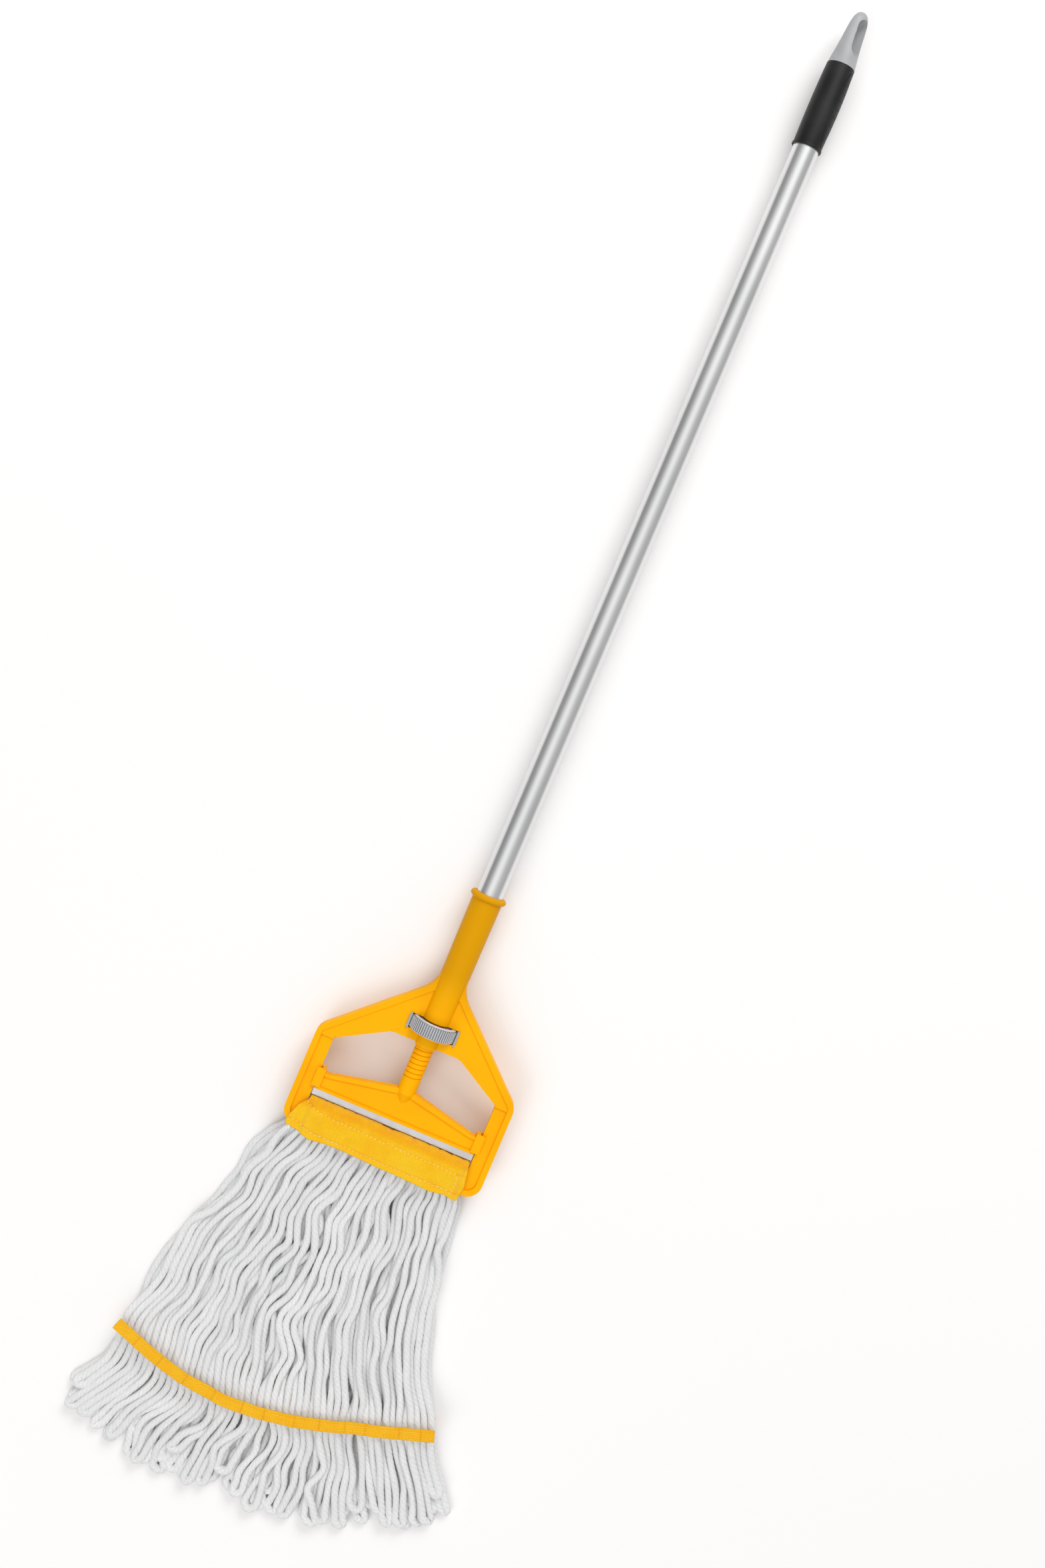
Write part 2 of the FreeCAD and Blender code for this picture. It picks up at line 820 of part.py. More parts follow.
def thumb_wheel():
    """Ribbed nut wheel with a deep annular recess on each face."""
    body = new_body("thumb_wheel")
    half = amount("wheel_width") * 0.5
    web = amount("wheel_web") * 0.5
    crown = amount("wheel_radius")
    skin = crown - "rib_relief"
    rim_in = skin - "wheel_rim"
    hub_top = half - "wheel_hub_drop"
    section = [
        ("wheel_bore", -half),
        ("wheel_hub_radius", -half),
        ("wheel_hub_radius", -web),
        (rim_in, -web),
        (rim_in, -half),
        (skin - "wheel_edge", -half),
        (skin, -half + "wheel_edge"),
        (skin, half - "wheel_edge"),
        (skin - "wheel_edge", half),
        (rim_in, half),
        (rim_in, web),
        ("wheel_hub_radius", web),
        ("wheel_hub_radius", hub_top),
        ("wheel_bore", hub_top),
    ]
    turn(body, "wheel_turned", sketch_on(body, "wheel_section", "XY_Plane", section))
    root = skin - 0.6
    shoulder = crown - 0.35
    shoulder_half = (amount("rib_foot_half") + "rib_crown_half") * 0.5
    rib_plan = [
        (root, "rib_foot_half"),
        (shoulder, shoulder_half),
        (crown, "rib_crown_half"),
        (crown, -amount("rib_crown_half")),
        (shoulder, -shoulder_half),
        (root, -amount("rib_foot_half")),
    ]
    rib = sketch_on(body, "rib_section", "XZ_Plane", rib_plan)
    rib_length = amount("wheel_width") - amount("rib_end") * 2
    raised = pad(body, "rib", rib, rib_length)
    ring = body.newObject("PartDesign::PolarPattern", "ribs")
    ring.Originals = [raised]
    ring.Axis = (rib, ["N_Axis"])
    ring.Angle = 360.0
    ring.Occurrences = int(D["wheel_ribs"])
    body.Tip = ring
    doc.recompute()
    bind(body, "Placement.Base.y", station("wheel_station"))
    place_on_axis(body)
    return keep(body, "thumb_wheel")


# ---------------------------------------------------------------- jaw


def jaw_plan():
    return [
        ("jaw_crest_half", station("jaw_crest")),
        (amount("jaw_half") - "jaw_end_run", station("jaw_end_station")),
        ("jaw_half", station("jaw_end_station")),
        ("jaw_half", station("jaw_bottom")),
    ]


def clamp_jaw():
    """Triangular bar on a threaded stem; its end forks straddle the rails' webs."""
    body = new_body("clamp_jaw")
    pad(
        body,
        "jaw_rim",
        sketch_on(body, "jaw_outline", "XY_Plane", mirrored(jaw_plan())),
        "jaw_rib_thickness",
    )
    face_depth = (amount("jaw_rib_thickness") - "jaw_thickness") * 0.5
    lip = amount("jaw_lip")
    end = amount("jaw_half") - "jaw_end_lip"
    inside = [
        (amount("jaw_crest_half") - 5.5, station("jaw_crest") - lip * 1.6),
        (amount("jaw_half") - "jaw_end_run" - 2.0, station("jaw_end_station") - lip),
        (end, station("jaw_end_station") - lip),
        (end, station("jaw_bottom") + lip),
    ]
    for face in (1, -1):
        label = "jaw_top" if face == 1 else "jaw_back"
        drawn = sketch_on(body, label + "_plan", "XY_Plane", mirrored(inside))
        offset = (amount("jaw_rib_thickness") * 0.5 - face_depth * 0.5) * face
        bind(drawn, "AttachmentOffset.Base.z", offset)
        doc.recompute()
        cut_through(body, label + "_recess", drawn, face_depth)
    stem = [
        (0.0, station("boss_tip")),
        ("stem_radius", station("stem_base")),
        ("stem_radius", station("stem_top") - 1.5),
        (amount("stem_radius") - 1.5, station("stem_top")),
        (0.0, station("stem_top")),
    ]
    turn(body, "stem_turned", sketch_on(body, "stem_section", "XY_Plane", stem))
    add_forks(body)
    cut_thread(body)
    place_on_axis(body)
    return keep(body, "clamp_jaw")


def add_forks(body):
    """A fork at each end, open outwards, that the rail's web runs in."""
    top = station("fork_top")
    low = station("fork_low")
    for side in (1, -1):
        hand = "right" if side == 1 else "left"
        block = [("fork_inner", low), ("fork_half", low), ("fork_half", top), ("fork_inner", top)]
        turned = [(amount(x) * side, y) for x, y in block]
        drawn = sketch_on(body, "fork_%s_plan" % hand, "XY_Plane", turned)
        pad(body, "fork_%s" % hand, drawn, "fork_thickness")
        mouth = [
            ("jaw_half", low - 1.0),
            (amount("fork_half") + 1.0, low - 1.0),
            (amount("fork_half") + 1.0, top + 1.0),
            ("jaw_half", top + 1.0),
        ]
        turned = [(amount(x) * side, y) for x, y in mouth]
        drawn = sketch_on(body, "fork_%s_mouth" % hand, "XY_Plane", turned)
        cut_through(body, "fork_%s_gap" % hand, drawn, "fork_gap")


def cut_thread(body):
    """Rounded screw thread cut into the stem above its plain foot."""
    low = station("thread_end")
    edge = amount("stem_radius")
    outside = edge + 0.4
    groove = sketch_on(
        body,
        "thread_section",
        "XY_Plane",
        [
            (edge - "thread_depth", low),
            (outside, low - "thread_half_width"),
            (outside, low + "thread_half_width"),
        ],
    )
    run = D["thread_end"] - D["stem_top"] + D["thread_pitch"]
    before = body.Shape.Volume
    made = body.newObject("PartDesign::SubtractiveHelix", "thread")
    made.Profile = groove
    made.ReferenceAxis = (groove, ["V_Axis"])
    made.Mode = 0
    made.Pitch = D["thread_pitch"]
    made.Height = run
    made.Turns = run / D["thread_pitch"]
    made.LeftHanded = False
    made.Reversed = False
    doc.recompute()
    if body.Shape.Volume >= before - 1.0:
        raise RuntimeError("the thread cuts nothing")


def pressure_strip():
    """Flat metal strip that spreads the jaw's force over the headband."""
    low = station("jaw_bottom") - "strip_height"
    half = amount("band_length") * 0.5
    block = box(
        "strip_blank",
        (-half, low, amount("axis_height") - amount("strip_thickness") * 0.5),
        (half * 2, "strip_height", "strip_thickness"),
    )
    doc.recompute()
    made = doc.addObject("Part::Chamfer", "pressure_strip")
    made.Base = block
    low_edges = [
        i + 1
        for i, edge in enumerate(block.Shape.Edges)
        if edge.Length > 50 and abs(edge.BoundBox.Center.y - low.value) < 0.01
    ]
    made.Edges = [(i, 0.8, 0.8) for i in low_edges]
    doc.recompute()
    return made


def strip_rivets():
    """Pins that fix the strip to the jaw's lower edge."""
    pins = []
    low = station("jaw_bottom") - amount("rivet_length") * 0.5
    for side in (-1, 0, 1):
        base = (amount("rivet_spacing") * side, low, "axis_height")
        name = "rivet_%d" % (side + 2)
        pins.append(cylinder(name, "rivet_radius", "rivet_length", base, ALONG_Y))
    return fuse("strip_rivets", *pins)


# ---------------------------------------------------------------- headband


def folded(name, crest_in, outer_depth, thickness):
    """One layer of the fold over the bottom bar: a long U open towards the yarn ends."""
    crest = station(amount("band_crest") + crest_in)
    hem = station("band_hem")
    length = amount("band_length")
    inner_depth = outer_depth - thickness
    bend = outer_depth.value * 0.8
    inner_bend = inner_depth.value * 0.8 if inner_depth.value > 5.0 else 1.0
    outer = rounded_slab(name + "_outer", crest, hem, outer_depth, length, bend)
    inner = rounded_slab(
        name + "_inner", crest - thickness, hem - 5.0, inner_depth, length + 4.0, inner_bend
    )
    return keep(cut(name, outer, inner), name)


def rounded_slab(name, crest, hem, half_depth, length, bend):
    block = box(
        name + "_blank",
        (length * -0.5, hem, amount("axis_height") - half_depth),
        (length, crest - hem, half_depth * 2),
    )
    doc.recompute()

    def along_crest(edge):
        middle = edge.BoundBox.Center
        return edge.Length > 50 and abs(middle.y - crest.value) < 0.01

    return part_fillet(name, block, along_crest, bend)


def headband():
    depth = amount("band_half_depth")
    band = amount("band_thickness")
    core = amount("core_thickness")
    liner = amount("liner_thickness")
    folded("headband_outer", amount(0.0), depth, band)
    folded("yarn_core", band, depth - band, core)
    folded("headband_liner", band + core, depth - band - core, liner)


def stitch_row(name, start, finish, count, height):
    """A row of short thread dashes between two (x, station) places at one height."""
    dashes = []
    level = abs(finish[0] - start[0]) > abs(finish[1] - start[1])
    thread = ("stitch_length", "stitch_width") if level else ("stitch_width", "stitch_length")
    for number in range(count):
        part_way = (number + 0.5) / count
        across = start[0] + (finish[0] - start[0]) * part_way
        along = start[1] + (finish[1] - start[1]) * part_way
        low = (
            amount(across) - amount(thread[0]) * 0.5,
            station(along) - amount(thread[1]) * 0.5,
            height,
        )
        dashes.append(box("%s_%d" % (name, number), low, thread + ("stitch_rise",)))
    return dashes


def headband_stitching():
    """Two long rows and one end row of stitches on each face of the headband."""
    top = amount("axis_height") + "band_half_depth"
    under = amount("axis_height") - "band_half_depth" - "stitch_rise"
    half = D["band_length"] / 2 - D["stitch_inset"]
    upper = D["band_crest"] + D["upper_row_drop"]
    lower = D["band_hem"] - D["lower_row_rise"]
    dashes = []
    for face, height in (("front", top), ("back", under)):
        dashes += stitch_row(face + "_upper", (-half, upper), (half, upper), 38, height)
        dashes += stitch_row(face + "_lower", (-half, lower), (half, lower), 38, height)
        dashes += stitch_row(face + "_end", (half, upper + 2), (half, lower - 2), 3, height)
    doc.recompute()
    return as_group("headband_stitching", [dash.Shape for dash in dashes])


def as_group(name, solids):
    """Several loose solids that share one node."""
    made = doc.addObject("Part::Feature", name)
    made.Shape = Part.makeCompound(solids)
    return made


# ---------------------------------------------------------------- yarns and tail bands

# Outline of the spread yarns as (x, station), down the left side and up the right side.
LEFT_SIDE = [(-86, 1154), (-111, 1184), (-125, 1240), (-148, 1300), (-159, 1370), (-171, 1440), (-190, 1476)]
TIPS = [(-190, 1476), (-140, 1498), (-60, 1508.8), (20, 1508.8), (100, 1496), (160, 1473), (190, 1450)]
RIGHT_SIDE = [(190, 1450), (164, 1402), (128, 1345), (113, 1304), (90, 1235), (82, 1185), (79, 1154)]
# The tail band's middle line, left end, crown and right end.
TAIL_LINE = [(-160, 1387), (-45, 1413), (147, 1368)]


def plan_point(pair, height=0.0):
    across, along = pair
    return Vector(across, D["overall_length"] / 2 - along, height)


def smooth(pairs, height=0.0):
    curve = Part.BSplineCurve()
    curve.interpolate([plan_point(p, height) for p in pairs])
    return curve.toShape()


def yarn_plan():
    """The whole spread of yarn, drawn on the floor and raised past the top layer."""
    hem = Part.makeLine(plan_point(RIGHT_SIDE[-1]), plan_point(LEFT_SIDE[0]))
    rim = Part.Wire([smooth(LEFT_SIDE), smooth(TIPS), smooth(RIGHT_SIDE), hem])
    return Part.Face(rim).extrude(Vector(0, 0, 60))


def tail_disc(spread, low, height):
    """Disc whose lower rim is the tail band's middle line, moved outwards by spread."""
    first, crown, last = [plan_point(p) for p in TAIL_LINE]
    circle = Part.Arc(first, crown, last).toShape().Curve
    centre = Vector(circle.Center.x, circle.Center.y, low)
    return Part.makeCylinder(circle.Radius + spread, height, centre)


def tail_strip(low, height):
    """Arched strip centred on the tail line."""
    half = D["tape_width"] / 2
    ring = tail_disc(half, low, height).cut(tail_disc(-half, low, height))
    lower_part = Part.makeBox(400, 300, height, Vector(-200, -D["overall_length"] / 2 - 100, low))
    return ring.common(lower_part)


def layer_profile(lower, upper):
    """Side profile of a yarn layer as (station, z) pairs, swept right across the mop."""
    rim = lower + list(reversed(upper))
    points = [Vector(-200, D["overall_length"] / 2 - s, z) for s, z in rim]
    wire = Part.makePolygon(points + [points[0]])
    return Part.Face(wire).extrude(Vector(400, 0, 0))


def yarn_layers():
    """Front and back layers, each parted at its tail band, with a tape on both of its faces."""
    axis = D["axis_height"]
    depth = D["band_half_depth"]
    hem = D["band_hem"]
    flat = D["yarn_flat_station"]
    end = D["overall_length"]
    tape = D["tape_thickness"]
    layer = D["yarn_layer"]
    gap = 0.3
    back_low = tape
    back_high = back_low + layer - tape * 2
    front_low = layer + gap + tape
    front_high = front_low + layer - tape * 2
    # Both profiles run on past the loops' tips; the front one thins towards them.
    past = end + 5
    tip_drop = 5
    hem_room = 0.6
    whole = yarn_plan()
    back = layer_profile(
        [(hem, axis - depth + hem_room), (flat, back_low), (past, back_low)],
        [(hem, axis - gap), (flat, back_high), (past, back_high)],
    )
    front = layer_profile(
        [(hem, axis + gap), (flat, front_low), (past, front_low)],
        [(hem, axis + depth - hem_room), (hem + 30, axis + depth - 1.0),
         (flat + 20, front_high), (end - 25, front_high), (past, front_high - tip_drop)],
    )
    above_line = tail_disc(0.0, -5.0, 80.0)
    solids = {}
    for face, profile in (("front", front), ("back", back)):
        spread = whole.common(profile)
        solids["yarns_" + face] = spread.common(above_line)
        solids["loop_ends_" + face] = spread.cut(above_line)
    faces = {
        "tail_tape_front": front_high,
        "tail_tape_front_inner": front_low - tape,
        "tail_tape_back_inner": back_high,
        "tail_tape_back": 0.0,
    }
    for name, low in faces.items():
        solids[name] = tail_strip(low, tape).common(whole)
    return solids, front_high + tape


def build_soft_parts():
    solids, tape_top = yarn_layers()
    for name, shape in solids.items():
        made = doc.addObject("Part::Feature", name)
        made.Shape = shape.Solids[0] if len(shape.Solids) == 1 else shape
        keep(made, name)
    stitches = []
    first, crown, last = [plan_point(p) for p in TAIL_LINE]
    arc = Part.Arc(first, crown, last).toShape()
    size = [D["stitch_length"], D["stitch_width"], D["stitch_rise"]]
    row_offset = D["tape_width"] / 2 - D["tape_row_inset"]
    for side in (-row_offset, row_offset):
        steps = 56
        for number in range(steps):
            at = arc.getParameterByLength(arc.Length * (number + 0.5) / steps)
            point = arc.valueAt(at)
            along = arc.tangentAt(at)
            across = Vector(-along.y, along.x, 0)
            dash = Part.makeBox(*size, Vector(-size[0] / 2, -size[1] / 2, 0))
            turned = Rotation(Vector(1, 0, 0), along)
            dash.Placement = Placement(point + across * side + Vector(0, 0, tape_top), turned)
            stitches.append(dash)
    keep(as_group("tail_stitching", stitches), "tail_stitching")


# ---------------------------------------------------------------- assembly

handle_tube()
tube_tip()
keep(hand_grip(), "hand_grip")
keep(hanging_cap(), "hanging_cap")
retaining_screw()
clamp_frame()
wheel_guides()
thumb_wheel()
clamp_jaw()
keep(pressure_strip(), "pressure_strip")
keep(strip_rivets(), "strip_rivets")
headband()
keep(headband_stitching(), "headband_stitching")
build_soft_parts()
doc.recompute()

for thing in doc.Objects:
    if any(state in ("Invalid", "Error") for state in thing.State):
        raise RuntimeError("%s failed: %s" % (thing.Name, thing.State))
for name, thing in PARTS:
    if thing.Shape.isNull() or not thing.Shape.isValid():
        raise RuntimeError(name + " has no valid shape")

os.makedirs("parts", exist_ok=True)
for name, thing in PARTS:
    thing.Shape.exportStep("parts/%s.step" % name)
    bounds = thing.Shape.optimalBoundingBox(False)
    print("%-22s solids %3d volume %10.1f x %.1f..%.1f y %.1f..%.1f z %.1f..%.1f" % (
        name, len(thing.Shape.Solids), thing.Shape.Volume,
        bounds.XMin, bounds.XMax, bounds.YMin, bounds.YMax, bounds.ZMin, bounds.ZMax))
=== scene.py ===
import math

import bpy
import numpy as np
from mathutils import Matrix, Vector


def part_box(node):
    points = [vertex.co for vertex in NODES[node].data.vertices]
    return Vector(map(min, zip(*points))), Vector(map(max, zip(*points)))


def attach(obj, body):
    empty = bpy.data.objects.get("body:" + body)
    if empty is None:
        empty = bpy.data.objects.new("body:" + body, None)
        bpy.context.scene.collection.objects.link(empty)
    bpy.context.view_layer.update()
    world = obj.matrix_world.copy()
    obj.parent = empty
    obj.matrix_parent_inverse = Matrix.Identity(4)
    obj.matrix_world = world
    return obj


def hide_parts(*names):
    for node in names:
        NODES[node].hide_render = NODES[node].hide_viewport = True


# String mop lying flat: +Y along the handle, X across the clamp, +Z up. Shapes are worked out in
# millimetres. A station is a distance from the hanging cap's tip, measured along the handle.

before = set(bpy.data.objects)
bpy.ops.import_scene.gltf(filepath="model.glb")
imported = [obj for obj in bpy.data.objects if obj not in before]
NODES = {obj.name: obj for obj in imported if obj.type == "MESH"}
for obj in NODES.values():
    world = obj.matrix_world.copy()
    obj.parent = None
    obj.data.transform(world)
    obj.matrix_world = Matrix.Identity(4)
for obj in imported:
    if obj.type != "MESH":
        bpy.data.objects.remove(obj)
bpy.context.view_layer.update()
MM = 0.001
TIP_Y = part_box("hanging_cap")[1].y / MM
AXIS_Z = (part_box("handle_tube")[0].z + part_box("handle_tube")[1].z) / 2 / MM
rng = np.random.default_rng(23)


# ---------------------------------------------------------------- camera

# It looks straight down, turned about the vertical, and stands RAISED up the picture from the
# middle of what it shows, which its lens shift takes back. Lengths are in metres.
TURN = math.radians(23)
PICTURE_UP = Vector((-math.sin(TURN), math.cos(TURN), 0))
AIM = (-0.012, -0.025)
VIEW_HEIGHT = 1.451
DISTANCE = 1.6
RAISED = 0.145
SENSOR = 36

camera = bpy.data.objects.new("camera", bpy.data.cameras.new("camera"))
bpy.context.scene.collection.objects.link(camera)
camera.data.sensor_width = SENSOR
camera.data.lens = SENSOR * DISTANCE / VIEW_HEIGHT
camera.data.shift_y = -RAISED / VIEW_HEIGHT
camera.location = Vector((*AIM, AXIS_Z * MM + DISTANCE)) + PICTURE_UP * RAISED
camera.rotation_euler = (0, 0, TURN)
camera.data.clip_start = 0.05
camera.data.clip_end = 50
bpy.context.scene.camera = camera


# ---------------------------------------------------------------- helpers for lines and grids

TINY = 1e-9
FLOOR_GAP = 0.05


def to_y(station):
    return TIP_Y - np.asarray(station, float)


def read(table, at):
    """Values of a two-column table at the given places, straight between its rows."""
    return np.interp(at, table[:, 0], table[:, 1])


def ramped(at, start, length):
    """0 up to the start, 1 after the length, straight between."""
    return np.clip((at - start) / length, 0, 1)


def eased(t):
    t = np.clip(t, 0, 1)
    return t * t * (3 - 2 * t)


def hump(away, width):
    """A bell that is 1 where away is 0."""
    return np.exp(-((away / width) ** 2))


def unit(vectors):
    return vectors / np.linalg.norm(vectors, axis=1, keepdims=True)


def walked(path):
    """The distance from a path's start to each of its points."""
    return np.concatenate([[0], np.cumsum(np.linalg.norm(np.diff(path, axis=0), axis=1))])


def sampled(at, along, path):
    """Points of a path at the given distances."""
    return np.stack([np.interp(at, along, path[:, k]) for k in range(path.shape[1])], axis=1)


def surface_normals(points):
    normal = np.cross(np.gradient(points, axis=0), np.gradient(points, axis=1))
    return normal / np.maximum(np.linalg.norm(normal, axis=2, keepdims=True), TINY)


def make_piece(name, verts, faces, cloth=None):
    """A mesh piece from points in millimetres; cloth holds each point's own pattern coordinates,
    which on the headband and tapes include a painted shade.
    """
    mesh = bpy.data.meshes.new(name)
    verts = np.asarray(verts, float) * MM
    faces = np.asarray(faces, np.int32)
    a, b, c = (verts[faces[:, k]] for k in (0, 1, 2))
    d = verts[faces[:, -1]]
    inside_out = (a * np.cross(b, c)).sum() + (a * np.cross(c, d)).sum() < 0
    if inside_out:
        faces = np.ascontiguousarray(faces[:, ::-1])
    mesh.vertices.add(len(verts))
    mesh.vertices.foreach_set("co", verts.ravel())
    mesh.loops.add(faces.size)
    mesh.loops.foreach_set("vertex_index", faces.ravel())
    mesh.polygons.add(len(faces))
    starts = np.arange(0, faces.size, faces.shape[1], dtype=np.int32)
    mesh.polygons.foreach_set("loop_start", starts)
    mesh.update(calc_edges=True)
    mesh.validate()
    mesh.polygons.foreach_set("use_smooth", np.full(len(mesh.polygons), True))
    if cloth is not None:
        attribute = mesh.attributes.new("cloth", "FLOAT_VECTOR", "POINT")
        attribute.data.foreach_set("vector", np.asarray(cloth, np.float32).ravel())
    piece = bpy.data.objects.new(name, mesh)
    bpy.context.scene.collection.objects.link(piece)
    return piece


def grid_faces(rows, columns, start=0, closed=False):
    """Quads of a grid numbered row by row from start; closed joins its last column to its first."""
    quads_across = columns if closed else columns - 1
    r, c = np.meshgrid(np.arange(rows - 1), np.arange(quads_across), indexing="ij")
    d = (c + 1) % columns
    corners = [r * columns + c, r * columns + d, (r + 1) * columns + d, (r + 1) * columns + c]
    return np.stack(corners, axis=-1).reshape(-1, 4) + start


def shell(name, points, thickness, cloth):
    """A closed sheet of cloth from a grid of points on its outer face."""
    rows, columns = points.shape[:2]
    inner = points - surface_normals(points) * thickness
    verts = np.concatenate([points.reshape(-1, 3), inner.reshape(-1, 3)])
    outer_faces = grid_faces(rows, columns)
    count = rows * columns
    number = np.arange(count).reshape(rows, columns)
    rim = np.concatenate([number[0, :-1], number[:-1, -1], number[-1, :0:-1], number[:0:-1, 0]])
    after = np.roll(rim, -1)
    wall = np.stack([rim, rim + count, after + count, after], axis=1)
    faces = np.concatenate([outer_faces, outer_faces[:, ::-1] + count, wall])
    return make_piece(name, verts, faces, np.tile(cloth.reshape(-1, 3), (2, 1)))


def rolling_noise(shape, cell, seed):
    """Smooth noise from -1 to 1 on a grid, with bumps about cell points wide."""
    source = np.random.default_rng(seed)
    coarse = [max(4, int(np.ceil(n / c)) + 4) for n, c in zip(shape, cell)]
    values = source.uniform(-1, 1, coarse)
    at_rows = np.linspace(1, coarse[0] - 3, shape[0])
    at_columns = np.linspace(1, coarse[1] - 3, shape[1])
    r, c = np.floor(at_rows).astype(int), np.floor(at_columns).astype(int)
    fr, fc = eased(at_rows - r)[:, None], eased(at_columns - c)[None, :]
    a, b = values[np.ix_(r, c)], values[np.ix_(r, c + 1)]
    d, e = values[np.ix_(r + 1, c)], values[np.ix_(r + 1, c + 1)]
    return (a * (1 - fc) + b * fc) * (1 - fr) + (d * (1 - fc) + e * fc) * fr


# ---------------------------------------------------------------- where the yarns would run

YARN_R = 3.5
STEP = 6.0
HEM = 1154.0
# Loops in a layer, legs in a layer, and loops in both layers.
LOOPS = 26
LEGS = LOOPS * 2
ALL_LOOPS = LOOPS * 2
# (station, x) down each side of the spread yarns, and (x, station) along their ends.
LEFT = np.array([
    (1140, -88), (1153, -92), (1166, -100), (1180, -105), (1190, -109), (1200, -111),
    (1230, -115), (1253, -123), (1274, -136), (1298, -144), (1318, -148), (1358, -150),
    (1379, -159), (1429, -164), (1446, -176), (1463, -191), (1480, -200), (1530, -216)], float)
RIGHT = np.array([
    (1140, 80), (1153, 82), (1160, 87), (1169, 88), (1179, 87), (1195, 88), (1220, 92),
    (1239, 95), (1264, 102), (1294, 111), (1321, 120), (1338, 128), (1359, 143), (1374, 149),
    (1400, 163), (1444, 198), (1470, 216), (1530, 250)], float)
ENDS = np.array([
    (-215, 1466), (-195, 1474), (-165, 1491), (-127, 1502), (-88, 1510), (-12, 1509),
    (26, 1508), (60, 1501), (96, 1493), (130, 1482), (164, 1470), (190, 1456), (205, 1446),
    (240, 1440)], float)
# The tail band's middle line as (x, station).
TAIL = np.array([
    (-175, 1381), (-160, 1387), (-120, 1401), (-82, 1410), (-48, 1413), (-14, 1412.5),
    (21, 1406.5), (63, 1394.5), (100, 1383.5), (147, 1368), (165, 1362)], float)
# (size, length along the yarns, turns across the mop, phase) of the waves that neighbours share.
WAVES = [(3.6, 140, 0.7, 0.4), (2.6, 88, -1.1, 2.1), (1.8, 55, 1.9, 4.0), (1.0, 36, -2.9, 1.1)]
WAVES_FROM = 1150
BACK_PHASE = 1.9
PHASE_DRIFT = 0.12
# Lengths of the waves that each leg has on its own, and the gamma law of their sizes.
OWN_WAVES = (118, 74, 47)
OWN_SHAPE, OWN_SCALE = 2.0, 0.62
# Kinks in a leg: how many, where, how wide and how big.
KINKS, KINK_AT, KINK_WIDE, KINK_SIZE = (1, 5), (1175, 1490), (7, 14), (1.4, 4.6)
# (x, station, half length, half width) of places where the top yarns part.
PARTINGS = [
    (-24, 1356, 26, 5.0), (-26, 1273, 14, 2.6), (-18, 1240, 12, 2.2), (4, 1234, 12, 2.4),
    (47, 1263, 14, 2.6), (66, 1283, 14, 2.2), (28, 1330, 14, 2.4), (64, 1368, 9, 2.6),
    (86, 1412, 15, 3.6), (105, 1452, 11, 4.4), (-20, 1464, 16, 4.6), (-97, 1284, 10, 2.4),
    (-104, 1192, 9, 2.6), (-59, 1317, 11, 2.2), (29, 1193, 9, 2.0), (-62, 1452, 12, 2.6),
    (8, 1436, 11, 2.4), (-120, 1440, 11, 2.2), (134, 1420, 12, 2.4)]
PART_FADE, PART_SOFT = 24, 3
# Waves are small near the tape, the hem and the outline, and larger on the left. Below the tape
# they are each leg's own.
EDGE_POWER = 0.3
LEFT_WAVES, LESS_TO_RIGHT = 1.3, 0.7
TAPE_STATION = 1398
CALM_LEAST, CALM_LENGTH = 0.35, 34
HEM_LENGTH = 26
LOOSE_FROM, LOOSE_LENGTH, LOOSE_MORE = 1422, 30, 0.8
SHARED_TO, SHARED_LENGTH, SHARED_LESS = 1400, 25, 0.7
# How far short of the outline a loop may end, and how often it does.
SHORT_BY = [0, 2, 5, 9, 15, 24]
SHORT_ODDS = [0.3, 0.2, 0.18, 0.14, 0.11, 0.07]
BACK_SHORT = 8

stations = np.arange(1151.5, 1518, STEP)
level_s = stations[:, None]


def wanted_lines(seed, front):
    """Where each leg of a layer would run if nothing pushed it."""
    source = np.random.default_rng(seed)
    across = (np.arange(LEGS) + 0.5) / LEGS
    left = read(LEFT, stations)[:, None] + YARN_R
    right = read(RIGHT, stations)[:, None] - YARN_R
    from_tape = np.clip(np.abs(level_s - TAPE_STATION) / CALM_LENGTH, 0, 1)
    calm = ramped(level_s, HEM, HEM_LENGTH) * (CALM_LEAST + (1 - CALM_LEAST) * from_tape)
    edge = (4 * across * (1 - across)) ** EDGE_POWER
    loose = 1 + LOOSE_MORE * ramped(level_s, LOOSE_FROM, LOOSE_LENGTH)
    line = left + across * (right - left)
    shared = 1 - SHARED_LESS * ramped(level_s, SHARED_TO, SHARED_LENGTH)
    shift = 0 if front else BACK_PHASE
    for size, length, turns, phase in WAVES:
        drift = source.normal(0, PHASE_DRIFT, LEGS)
        distance = (level_s - WAVES_FROM) / length
        angle = 2 * np.pi * (distance + turns * across) + phase + shift + drift
        size = size * (LEFT_WAVES - LESS_TO_RIGHT * across)
        line = line + size * np.sin(angle) * calm * edge * shared
    for length in OWN_WAVES:
        phase = source.uniform(0, 2 * np.pi, LEGS)
        size = source.gamma(OWN_SHAPE, OWN_SCALE, LEGS)
        line = line + size * np.sin(2 * np.pi * level_s / length + phase) * calm * edge * loose
    for number in range(LEGS):
        for _ in range(source.integers(*KINKS)):
            at, wide = source.uniform(*KINK_AT), source.uniform(*KINK_WIDE)
            size = source.uniform(*KINK_SIZE) * source.choice([-1, 1])
            line[:, number] += size * hump(stations - at, wide)
    for x, at, half_length, half_width in PARTINGS if front else ():
        row = line[np.argmin(np.abs(stations - at))]
        nearest_line = line[:, np.argmin(np.abs(row - x))]
        side = line - np.interp(level_s, stations, nearest_line)
        push = half_width * np.tanh((side + 0.01) / PART_SOFT)
        line = line + push * hump(level_s - at, half_length) * np.exp(-np.abs(side) / PART_FADE)
    return line


